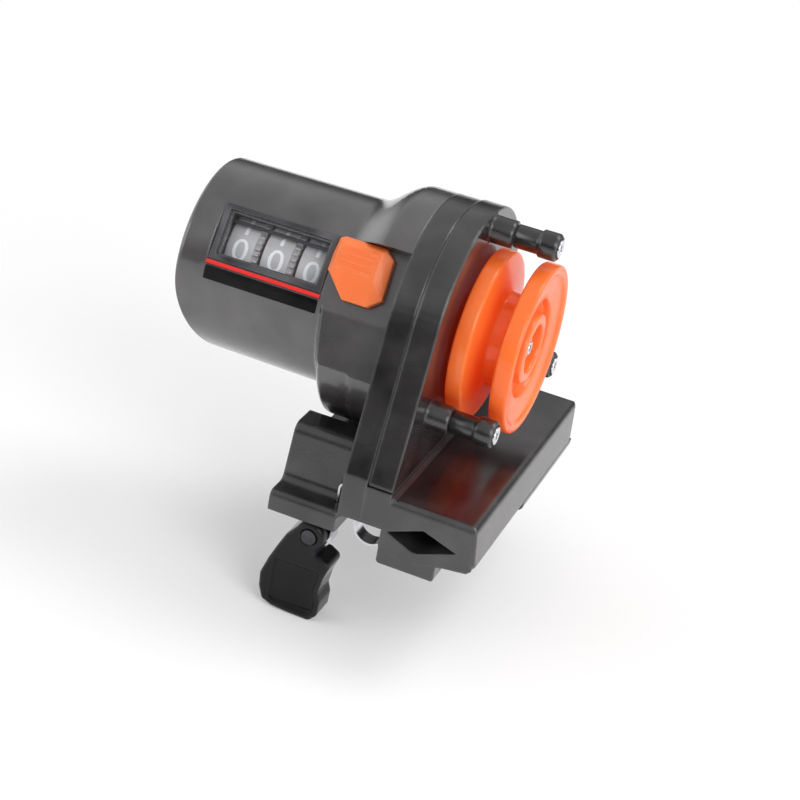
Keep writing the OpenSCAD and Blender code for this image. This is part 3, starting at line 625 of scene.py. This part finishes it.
# The bezel's dark paint over ABS, painted pale along its thin edges as painted highlight lines
# and wear.
BEZEL_PAINT = MouldedPlastic(
    name="grey_painted_abs",
    colour="141315",
    edge_colour="a3a2a8",
    roughness=0.3,
    grain_mm=0.25,
    grain_depth_mm=0.005,
    shine=0.3,
    rub_mm=0.2,
)
# The lip's black ABS comes from a polished part of the mould.
LIP_ABS = MouldedPlastic(
    name="black_abs_polished",
    colour="0a0b0a",
    edge_colour="3a3a3c",
    roughness=0.2,
    grain_mm=0.8,
    grain_depth_mm=0.003,
    shine=0.08,
    rub_mm=0.15,
)
# Inner black parts.
INNER_ABS = MouldedPlastic(
    name="black_abs_plain",
    colour="1b1b1d",
    edge_colour="343437",
    roughness=0.45,
    grain_mm=0.4,
    grain_depth_mm=0.006,
)
SCREW_CHROME = Metal("chromed_steel", "e6e7ea", 0.14, Cut.PLATED, mark_mm=0.4)
STRAP_STEEL = Metal("rolled_stainless_steel", "d9dade", 0.2, Cut.ROLLED, mark_mm=0.12)
PIN_STEEL = Metal("blackened_steel", "2c2c2e", 0.3, Cut.TURNED, mark_mm=0.1)
SHAFT_STEEL = Metal("turned_steel", "c4c6ca", 0.24, Cut.TURNED, mark_mm=0.1)
BUSH_BRONZE = Metal("sintered_bronze", "a8804a", 0.4, Cut.TURNED, mark_mm=0.15)
PANE_ACRYLIC = ClearPane("clear_acrylic", "fdfeff", ior=1.4)
RED_INK = PrintedInk("red_pad_ink", "e0211c", "a81814", roughness=0.3)
WHITE_INK = PrintedInk("white_pad_ink", "f6f6f8", "dfe0e3", roughness=0.45)


class Finishes:
    """Builds each finish once and hands its material out."""

    def __init__(self) -> None:
        """Starts with no material built."""
        self._built: dict[str, bpy.types.Material] = {}

    def of(self, finish: Finish) -> bpy.types.Material:
        """Gives a finish's material, building it at the first call.

        Args:
            finish: One of the finishes above.

        Returns:
            Its material.
        """
        if finish.name not in self._built:
            self._built[finish.name] = finish.build()
        return self._built[finish.name]

    def paint(self, piece: bpy.types.Object, finish: Finish) -> None:
        """Gives a piece one finish all over.

        Args:
            piece: The piece.
            finish: Its finish.
        """
        piece.data.materials.clear()
        piece.data.materials.append(self.of(finish))


def only(piece: bpy.types.Object) -> None:
    """Selects one piece alone and makes it active.

    Args:
        piece: The piece.
    """
    bpy.ops.object.select_all(action="DESELECT")
    piece.select_set(True)
    bpy.context.view_layer.objects.active = piece


def fix_in_mesh(piece: bpy.types.Object) -> None:
    """Moves a piece's place, turn and scale into its mesh.

    Args:
        piece: The piece.
    """
    only(piece)
    bpy.ops.object.transform_apply(location=True, rotation=True, scale=True)


def soften(
    piece: bpy.types.Object, width_mm: float, angle: float = 35.0, join_flats: bool = False
) -> None:
    """Rounds a CAD node's sharp edges with live modifiers, its mesh left alone.

    Args:
        piece: The CAD node.
        width_mm: Width of the rounding.
        angle: Least angle of an edge that is rounded, in degrees.
        join_flats: Whether triangles of one plane are joined first, which lets a wide
            rounding run over them.
    """
    weld = piece.modifiers.new("join", "WELD")
    weld.merge_threshold = JOIN_MM * MM
    if join_flats:
        flat = piece.modifiers.new("flats", "DECIMATE")
        flat.decimate_type = "DISSOLVE"
        flat.angle_limit = math.radians(FLAT_ANGLE)
    bevel = piece.modifiers.new("edges", "BEVEL")
    bevel.limit_method = "ANGLE"
    bevel.angle_limit = math.radians(angle)
    bevel.width = width_mm * MM
    bevel.segments = 2
    bevel.use_clamp_overlap = False
    bevel.harden_normals = True
    bevel.miter_outer = "MITER_ARC"


def lay_on(piece: bpy.types.Object, target: bpy.types.Object, offset_mm: float) -> None:
    """Lays a flat piece on a surface that lies behind it, with a modifier.

    Args:
        piece: The piece, which looks out along its own Z.
        target: The piece that it lies on.
        offset_mm: How far in front of the surface it stays, below zero for sunk in.
    """
    wrap = piece.modifiers.new("wrap", "SHRINKWRAP")
    wrap.target = target
    wrap.wrap_method = "PROJECT"
    wrap.use_project_z = True
    wrap.use_negative_direction = True
    wrap.use_positive_direction = False
    wrap.offset = offset_mm * MM


def cut_strips(low_mm: float, high_mm: float, count: int) -> None:
    """Cuts the mesh in edit mode into strips of one height, so that it can bend.

    Args:
        low_mm: The mesh's lowest Y.
        high_mm: Its highest Y.
        count: The number of strips.
    """
    for k in range(1, count):
        bpy.ops.mesh.select_all(action="SELECT")
        level = (low_mm + (high_mm - low_mm) * k / count) * MM
        bpy.ops.mesh.bisect(
            plane_co=(0, level, 0), plane_no=(0, 1, 0), threshold=SAME_POINT
        )


def joint_place(name: str) -> Vector:
    """Gives the point that a joint turns round."""
    return Vector(next(j["pos_m"] for j in frame["joints"] if j["name"] == name))


def placing(hub: Vector, tilt: float, out_mm: float) -> Matrix:
    """Gives the placing of a flat piece that looks out from an axis along X.

    Args:
        hub: A point of the axis.
        tilt: How far the piece faces up from straight ahead, in radians.
        out_mm: Its distance from the axis.

    Returns:
        A matrix whose X runs along the axis, Y up the piece and Z out of it.
    """
    out = Vector((0, -math.cos(tilt), math.sin(tilt)))
    up = Vector((0, math.sin(tilt), math.cos(tilt)))
    spot = hub + out * out_mm * MM
    return Matrix(
        (
            (1, up.x, out.x, spot.x),
            (0, up.y, out.y, spot.y),
            (0, up.z, out.z, spot.z),
            (0, 0, 0, 1),
        )
    )


def panel_placing(out_mm: float) -> Matrix:
    """Gives the placing of a flat piece over the window's panel.

    Args:
        out_mm: Its distance from the barrel's axis.

    Returns:
        A matrix as placing gives it, with X from the part's origin.
    """
    axis = joint_place("wheel_spin")
    axis.x = 0
    return placing(axis, PANEL_TILT, out_mm)


@dataclass
class Housing:
    """The charcoal barrel, its plates and the base."""

    finishes: Finishes
    plate_edge_mm: float = 0.35

    def dress(self) -> None:
        """Gives the mouldings their finishes."""
        nodes = frame["nodes"]
        self.finishes.paint(nodes["barrel_housing"], HOUSING_ABS)
        for name in ("gear_frame", "wheel_plate", "right_base", "base_cover"):
            self.finishes.paint(nodes[name], PLATE_ABS)
        soften(nodes["wheel_plate"], self.plate_edge_mm, join_flats=True)
        for name in ("case_screws", "base_screws"):
            self.finishes.paint(nodes[name], SHAFT_STEEL)
        LOG.info("housing, plates and base dressed")


@dataclass
class Window:
    """The bezel, its pane, the red line, the black lip and the frame behind them.

    The lip's X is the part's, and its height is measured up the panel from the level of
    the barrel's axis.
    """

    finishes: Finishes
    bezel_edge_mm: float = 0.15
    lip_x_mm: tuple[float, float] = (-48.1, -22.9)
    lip_v_mm: tuple[float, float] = (-8.6, -5.9)
    lip_corner_mm: float = 0.25
    lip_strips: int = 6
    lip_start_mm: float = 25.0
    lip_sunk_mm: float = 0.05
    lip_proud_mm: float = 0.3
    lip_edge_mm: float = 0.12
    lip_edge_angle: float = 40.0

    def dress(self) -> None:
        """Gives the window's parts their finishes."""
        nodes = frame["nodes"]
        self.finishes.paint(nodes["window_bezel"], BEZEL_PAINT)
        soften(nodes["window_bezel"], self.bezel_edge_mm)
        self.finishes.paint(nodes["window_lens"], PANE_ACRYLIC)
        self.finishes.paint(nodes["index_strip"], RED_INK)
        self.finishes.paint(nodes["counter_frame"], INNER_ABS)
        LOG.info("window dressed")

    def flat_lip(self) -> bpy.types.Object:
        """Makes the lip as a flat strip with round corners.

        Returns:
            The strip, in the panel's own X and Y.
        """
        left, right = self.lip_x_mm
        low, high = self.lip_v_mm
        bpy.ops.object.select_all(action="DESELECT")
        bpy.ops.mesh.primitive_plane_add(size=1.0, location=(0, 0, 0))
        lip = bpy.context.object
        lip.name = "window_lip"
        lip.scale = ((right - left) * MM, (high - low) * MM, 1.0)
        lip.location = ((left + right) / 2 * MM, (low + high) / 2 * MM, 0)
        fix_in_mesh(lip)
        bpy.ops.object.mode_set(mode="EDIT")
        bpy.ops.mesh.select_all(action="SELECT")
        bpy.ops.mesh.bevel(
            offset=self.lip_corner_mm * MM,
            segments=3,
            affect="VERTICES",
            clamp_overlap=True,
        )
        cut_strips(low, high, self.lip_strips)
        bpy.ops.object.mode_set(mode="OBJECT")
        return lip

    def build_lip(self) -> None:
        """Builds the glossy black lip that follows the barrel under the red line."""
        lip = self.flat_lip()
        lip.matrix_world = panel_placing(self.lip_start_mm)
        lay_on(lip, frame["nodes"]["barrel_housing"], -self.lip_sunk_mm)
        body = lip.modifiers.new("body", "SOLIDIFY")
        body.thickness = self.lip_proud_mm * MM
        body.offset = 1.0
        edge = lip.modifiers.new("edge", "BEVEL")
        edge.width = self.lip_edge_mm * MM
        edge.segments = 2
        edge.limit_method = "ANGLE"
        edge.angle_limit = math.radians(self.lip_edge_angle)
        only(lip)
        for name in ("wrap", "body", "edge"):
            bpy.ops.object.modifier_apply(modifier=name)
        fix_in_mesh(lip)
        bpy.ops.object.shade_smooth_by_angle(angle=math.radians(self.lip_edge_angle))
        self.finishes.paint(lip, LIP_ABS)
        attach(lip, "case")
        LOG.info("window lip: %d faces", len(lip.data.polygons))


@dataclass
class NumberWheels:
    """The three number wheels with their printed digits, and the gears behind them."""

    finishes: Finishes
    ring_edge_mm: float = 0.12
    ring_edge_angle: float = 50.0
    digits: int = 10
    digit_h_mm: float = 4.7
    zero_w_mm: float = 3.3
    curve_steps: int = 6
    first_angle: float = -5.0
    band_shift_mm: float = -0.35
    start_mm: float = 9.9
    strips: int = 8
    ink_mm: float = 0.04
    ink_lift_mm: float = 0.005

    def dress(self) -> None:
        """Gives the wheels, shafts and gears their finishes."""
        nodes = frame["nodes"]
        for name in ("metres_wheel", "tens_wheel", "hundreds_wheel"):
            self.finishes.paint(nodes[name], NUMBER_ACETAL)
            soften(nodes[name], self.ring_edge_mm, self.ring_edge_angle)
        for name in ("first_gear", "second_gear", "output_gear"):
            self.finishes.paint(nodes[name], GEAR_NYLON)
        for name in (
            "number_shaft",
            "transfer_shaft",
            "tens_pinion",
            "hundreds_pinion",
            "wheel_shaft",
            "drive_pinion",
            "gear_pins",
        ):
            self.finishes.paint(nodes[name], SHAFT_STEEL)
        self.finishes.paint(nodes["shaft_bushes"], BUSH_BRONZE)
        LOG.info("number wheels and gears dressed")

    def flat_digit(self, value: int, stretch: float) -> bpy.types.Object:
        """Makes one digit as a flat mesh, centred, cut in strips across its height.

        Args:
            value: The digit, 0 to 9.
            stretch: How much narrower than the font's own width it is printed.

        Returns:
            The digit, lying in its own XY plane.
        """
        bpy.ops.object.select_all(action="DESELECT")
        bpy.ops.object.text_add(location=(0, 0, 0))
        digit = bpy.context.object
        digit.data.body = str(value)
        digit.data.resolution_u = self.curve_steps
        bpy.ops.object.convert(target="MESH")
        digit = bpy.context.object
        low = [min(v.co[i] for v in digit.data.vertices) for i in range(2)]
        high = [max(v.co[i] for v in digit.data.vertices) for i in range(2)]
        size = self.digit_h_mm * MM / (high[1] - low[1])
        digit.scale = (size * stretch, size, size)
        digit.location = (
            -(low[0] + high[0]) / 2 * size * stretch,
            -(low[1] + high[1]) / 2 * size,
            0,
        )
        fix_in_mesh(digit)
        bpy.ops.object.mode_set(mode="EDIT")
        cut_strips(-self.digit_h_mm / 2, self.digit_h_mm / 2, self.strips)
        bpy.ops.mesh.select_all(action="SELECT")
        bpy.ops.mesh.remove_doubles(threshold=SAME_POINT)
        bpy.ops.object.mode_set(mode="OBJECT")
        return digit

    def stretch_of_zero(self) -> float:
        """Finds how much narrower than the font's zero the printed zero is.

        Returns:
            The factor on the digits' width.
        """
        bpy.ops.object.select_all(action="DESELECT")
        bpy.ops.object.text_add(location=(0, 0, 0))
        zero = bpy.context.object
        zero.data.body = "0"
        bpy.context.view_layer.update()
        ratio = zero.dimensions.x / zero.dimensions.y
        bpy.data.objects.remove(zero)
        return self.zero_w_mm / self.digit_h_mm / ratio

    def print_digit(self, value: int, stretch: float, body: str) -> bpy.types.Object:
        """Prints one digit on its wheel, zero in the window.

        Args:
            value: The digit, 0 to 9.
            stretch: Factor on the digit's width.
            body: The wheel's body.

        Returns:
            The digit as a film of ink on the wheel.
        """
        hub = joint_place(f"{body}_spin")
        hub.x += self.band_shift_mm * MM
        turn = PANEL_TILT + math.radians(self.first_angle + 360 / self.digits * value)
        digit = self.flat_digit(value, stretch)
        digit.matrix_world = placing(hub, turn, self.start_mm)
        lay_on(digit, frame["nodes"][f"{body}_wheel"], self.ink_lift_mm)
        film = digit.modifiers.new("film", "SOLIDIFY")
        film.thickness = self.ink_mm * MM
        film.offset = 1.0
        only(digit)
        for name in ("wrap", "film"):
            bpy.ops.object.modifier_apply(modifier=name)
        fix_in_mesh(digit)
        return digit

    def print_wheel(self, body: str, stretch: float) -> None:
        """Prints all digits round one wheel, as one piece.

        Args:
            body: The wheel's body, which the digits ride on.
            stretch: Factor on the digits' width.
        """
        digits = [self.print_digit(value, stretch, body) for value in range(self.digits)]
        bpy.ops.object.select_all(action="DESELECT")
        for digit in digits:
            digit.select_set(True)
        piece = digits[0]
        bpy.context.view_layer.objects.active = piece
        bpy.ops.object.join()
        piece.name = f"{body}_digits"
        self.finishes.paint(piece, WHITE_INK)
        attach(piece, body)
        LOG.info("%s: %d faces", piece.name, len(piece.data.polygons))

    def build(self) -> None:
        """Prints the digits on all three wheels."""
        stretch = self.stretch_of_zero()
        for body in ("metres", "tens", "hundreds"):
            self.print_wheel(body, stretch)


@dataclass
class MeasuringWheel:
    """The orange wheel with its screw, and the guide posts round it."""

    finishes: Finishes
    wheel_edge_mm: float = 0.25
    screw_edge_mm: float = 0.12
    roller_edge_mm: float = 0.2

    def dress(self) -> None:
        """Gives the wheel, the rollers and their screws their finishes."""
        nodes = frame["nodes"]
        self.finishes.paint(nodes["measuring_wheel"], WHEEL_PP)
        soften(nodes["measuring_wheel"], self.wheel_edge_mm)
        for name in ("wheel_washer", "wheel_screw", "post_screws"):
            self.finishes.paint(nodes[name], SCREW_CHROME)
            soften(nodes[name], self.screw_edge_mm)
        for name in ("upper_roller", "front_roller", "rear_roller"):
            self.finishes.paint(nodes[name], PLATE_ABS)
            soften(nodes[name], self.roller_edge_mm)
        LOG.info("measuring wheel and guide posts dressed")


@dataclass
class ResetSlider:
    """The orange thumb slider with its retainer and spring.

    The spring's X is the part's, its ends are measured up the panel from the level of the
    barrel's axis, and it stands spring_out_mm from that axis.
    """

    finishes: Finishes
    spring_x_mm: float = -18.5
    spring_ends_mm: tuple[float, float] = (-8.35, -1.25)
    spring_out_mm: float = 15.2
    coil_r_mm: float = 1.1
    wire_mm: float = 0.35
    wire_sides: int = 8
    turns: int = 6
    steps_per_turn: int = 14
    smooth_angle: float = 50.0
    travel_mm: float = 2.2

    def dress(self) -> None:
        """Gives the slider's parts their finishes."""
        nodes = frame["nodes"]
        self.finishes.paint(nodes["reset_slider"], SLIDER_PP)
        self.finishes.paint(nodes["reset_retainer"], INNER_ABS)
        LOG.info("reset slider dressed")

    def wind_spring(self) -> bpy.types.Object:
        """Winds the spring round its own Z, from the foot up.

        Returns:
            The spring, as one closed wire.
        """
        bpy.ops.object.select_all(action="DESELECT")
        bpy.ops.mesh.primitive_circle_add(
            vertices=self.wire_sides, radius=self.wire_mm / 2 * MM, location=(0, 0, 0)
        )
        spring = bpy.context.object
        spring.name = "return_spring"
        bpy.ops.object.mode_set(mode="EDIT")
        bpy.ops.mesh.select_all(action="SELECT")
        bpy.ops.transform.rotate(
            value=math.pi / 2, orient_axis="X", center_override=(0, 0, 0)
        )
        bpy.ops.transform.translate(value=(self.coil_r_mm * MM, 0, 0))
        bpy.ops.object.mode_set(mode="OBJECT")
        low, high = self.spring_ends_mm
        coil = spring.modifiers.new("coil", "SCREW")
        coil.axis = "Z"
        coil.angle = 2 * math.pi
        coil.steps = coil.render_steps = self.steps_per_turn
        coil.iterations = self.turns
        coil.screw_offset = (high - low - self.wire_mm) / self.turns * MM
        bpy.ops.object.modifier_apply(modifier="coil")
        bpy.ops.object.mode_set(mode="EDIT")
        bpy.ops.mesh.select_all(action="SELECT")
        bpy.ops.mesh.remove_doubles(threshold=SAME_POINT)
        bpy.ops.mesh.fill_holes(sides=0)
        bpy.ops.mesh.select_all(action="SELECT")
        bpy.ops.mesh.normals_make_consistent(inside=False)
        bpy.ops.object.mode_set(mode="OBJECT")
        return spring

    def build_spring(self) -> None:
        """Seats the return spring on the case, in place of the CAD node's spring."""
        spring = self.wind_spring()
        low, high = self.spring_ends_mm
        panel = panel_placing(self.spring_out_mm)
        start = panel @ Vector((self.spring_x_mm * MM, (low + self.wire_mm / 2) * MM, 0))
        side, up, out = (panel.to_3x3().col[i] for i in range(3))
        spring.matrix_world = Matrix(
            [(side[i], -out[i], up[i], start[i]) for i in range(3)] + [(0, 0, 0, 1)]
        )
        fix_in_mesh(spring)
        bpy.ops.object.shade_smooth_by_angle(angle=math.radians(self.smooth_angle))
        self.finishes.paint(spring, SHAFT_STEEL)
        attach(spring, "case")
        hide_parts("reset_spring")
        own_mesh(spring)
        LOG.info("return spring: %d faces", len(spring.data.polygons))


@dataclass
class RodClamp:
    """The glossy lever, its pin and the steel strap."""

    finishes: Finishes
    lever_edge_mm: float = 0.5

    def dress(self) -> None:
        """Gives the clamp's parts their finishes."""
        nodes = frame["nodes"]
        self.finishes.paint(nodes["clamp_lever"], LEVER_ACETAL)
        soften(nodes["clamp_lever"], self.lever_edge_mm, join_flats=True)
        self.finishes.paint(nodes["clamp_strap"], STRAP_STEEL)
        self.finishes.paint(nodes["lever_pin"], PIN_STEEL)
        self.finishes.paint(nodes["strap_screw"], SCREW_CHROME)
        LOG.info("rod clamp dressed")


@dataclass(frozen=True)
class SoftLamp:
    """A square soft lamp that points at the object."""

    name: str
    spot: tuple[float, float, float]
    side_m: float
    watts: float
    aim: tuple[float, float, float] = (-0.01, 0.03, 0.03)

    def hang(self) -> None:
        """Hangs the lamp."""
        data = bpy.data.lights.new(self.name, "AREA")
        data.shape = "SQUARE"
        data.size = self.side_m
        data.energy = self.watts
        lamp = bpy.data.objects.new(self.name, data)
        bpy.context.scene.collection.objects.link(lamp)
        way = Vector(self.aim) - Vector(self.spot)
        lamp.location = self.spot
        lamp.rotation_euler = way.to_track_quat("-Z", "Y").to_euler()


@dataclass
class Studio:
    """A white paper floor, soft lamps, a dim sky and the photograph's camera."""

    floor_side_m: float = 6.0
    floor_gap_mm: float = 0.02
    floor_colour: str = "fbfafb"
    floor_lift: float = 0.15
    fade_m: tuple[float, float] = (0.1, 0.45)
    fibre_mm: float = 0.8
    fibre_depth_mm: float = 0.02
    # The sky is bright overhead and at both ends of X, and nearly black elsewhere.
    sky_colour: str = "ffffff"
    sky_strength: float = 0.7
    side_strength: float = 1.3
    wall_strength: float = 0.04
    overhead_z: tuple[float, float] = (0.15, 0.6)
    sideways_x: tuple[float, float] = (0.5, 0.9)
    lamps: tuple[SoftLamp, ...] = (
        SoftLamp("key", (0.9, -0.75, 0.7), 0.7, 7.5),
        SoftLamp("fill", (-0.95, -0.75, 0.5), 0.6, 2.5),
        SoftLamp("top", (0.5, 0.5, 1.1), 0.5, 4.0),
    )
    near_m: float = 0.01
    far_m: float = 20.0

    def seen_ray(self, tree: bpy.types.NodeTree) -> Socket:
        """Tells the rays that carry a picture of the background.

        Args:
            tree: The floor's node tree.

        Returns:
            A socket that is 1 for rays from the camera, a mirror or a clear pane.
        """
        path = add_node(tree, "ShaderNodeLightPath").outputs
        mirrored = calculate(
            tree, "MAXIMUM", path["Is Glossy Ray"], path["Is Transmission Ray"]
        )
        return calculate(tree, "MAXIMUM", mirrored, path["Is Camera Ray"])

    def floor_paper(self) -> bpy.types.Material:
        """Builds the matt paper, which fades to plain white as a lit backdrop does.

        Returns:
            The material.
        """
        material = blank("matt_white_paper")
        tree = material.node_tree
        place = own_place(tree)
        fibre = noise(tree, place, self.fibre_mm, detail=2.0)
        paper = add_node(
            tree,
            "ShaderNodeBsdfPrincipled",
            {
                "Base Color": linear(self.floor_colour),
                "Roughness": 0.85,
                "Specular IOR Level": 0.2,
            },
            {"Normal": relief(tree, fibre, self.fibre_depth_mm, strength=0.1)},
        ).outputs["BSDF"]
        distance = add_node(
            tree, "ShaderNodeVectorMath", {"operation": "LENGTH"}, {0: place}
        ).outputs["Value"]
        fade = remap(
            tree,
            distance,
            self.fade_m,
            (self.floor_lift, 1.0),
            interpolation_type="SMOOTHSTEP",
        )
        lifted = calculate(tree, "MULTIPLY", self.seen_ray(tree), fade)
        white = add_node(
            tree, "ShaderNodeEmission", {"Color": linear("ffffff"), "Strength": 1.0}
        ).outputs["Emission"]
        surface = add_node(
            tree, "ShaderNodeMixShader", {}, {0: lifted, 1: paper, 2: white}
        ).outputs["Shader"]
        show(tree, surface)
        return material

    def lay_floor(self) -> None:
        """Lays the floor just under the object's lowest point."""
        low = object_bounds()[0][2]
        bpy.ops.object.select_all(action="DESELECT")
        bpy.ops.mesh.primitive_plane_add(
            size=self.floor_side_m, location=(0, 0, low - self.floor_gap_mm * MM)
        )
        floor = bpy.context.object
        floor.name = "studio_floor"
        fix_in_mesh(floor)
        floor.data.materials.append(self.floor_paper())
        floor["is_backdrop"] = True

    def sky_light(self, tree: bpy.types.NodeTree) -> Socket:
        """Builds the sky's strength, which depends on the direction.

        Args:
            tree: The sky's node tree.

        Returns:
            The strength.
        """
        way = add_node(tree, "ShaderNodeTexCoord").outputs["Generated"]
        axes = add_node(tree, "ShaderNodeSeparateXYZ", {}, {"Vector": way}).outputs
        overhead = remap(
            tree,
            axes["Z"],
            self.overhead_z,
            (0.0, 1.0),
            interpolation_type="SMOOTHSTEP",
        )
        sideways = remap(
            tree,
            calculate(tree, "ABSOLUTE", axes["X"]),
            self.sideways_x,
            (0.0, self.side_strength / self.sky_strength),
            interpolation_type="SMOOTHSTEP",
        )
        brightest = calculate(tree, "MAXIMUM", overhead, sideways)
        ends = (self.wall_strength, self.sky_strength)
        return remap(tree, brightest, (0.0, 1.0), ends, clamp=False)

    def light(self) -> None:
        """Sets the sky, which the camera sees as plain white, and the lamps."""
        world = bpy.data.worlds.new("studio")
        bpy.context.scene.world = world
        world.use_nodes = True
        tree = world.node_tree
        tree.nodes.clear()
        glow = add_node(
            tree,
            "ShaderNodeBackground",
            {"Color": linear(self.sky_colour)},
            {"Strength": self.sky_light(tree)},
        ).outputs["Background"]
        white = add_node(
            tree, "ShaderNodeBackground", {"Color": linear("ffffff"), "Strength": 1.0}
        ).outputs["Background"]
        seen = add_node(tree, "ShaderNodeLightPath").outputs["Is Camera Ray"]
        sky = add_node(
            tree, "ShaderNodeMixShader", {}, {0: seen, 1: glow, 2: white}
        ).outputs["Shader"]
        add_node(tree, "ShaderNodeOutputWorld", {}, {"Surface": sky})
        for lamp in self.lamps:
            lamp.hang()

    def place_camera(self) -> None:
        """Puts the camera where the photograph was taken from."""
        data = bpy.data.cameras.new("photo_view")
        data.lens = PHOTO_LENS_MM
        data.sensor_fit = "HORIZONTAL"
        data.sensor_width = PHOTO_SENSOR_MM
        data.clip_start = self.near_m
        data.clip_end = self.far_m
        camera = bpy.data.objects.new("photo_view", data)
        bpy.context.scene.collection.objects.link(camera)
        turn = Matrix(PHOTO_TURN).to_4x4()
        camera.matrix_world = Matrix.Translation(PHOTO_EYE) @ turn
        bpy.context.scene.camera = camera

    def build(self) -> None:
        """Lays the floor, hangs the lamps and places the camera."""
        self.lay_floor()
        self.light()
        self.place_camera()
        bpy.context.scene.view_settings.view_transform = "Standard"
        LOG.info("studio built")


def main() -> None:
    """Dresses the frame, adds lip, digits and spring, and builds the studio."""
    logging.basicConfig(level=logging.INFO, format="%(message)s")
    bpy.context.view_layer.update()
    finishes = Finishes()
    Housing(finishes).dress()
    window = Window(finishes)
    window.dress()
    window.build_lip()
    wheels = NumberWheels(finishes)
    wheels.dress()
    wheels.build()
    MeasuringWheel(finishes).dress()
    slider = ResetSlider(finishes)
    slider.dress()
    slider.build_spring()
    RodClamp(finishes).dress()
    Studio().build()


if __name__ == "__main__":
    main()
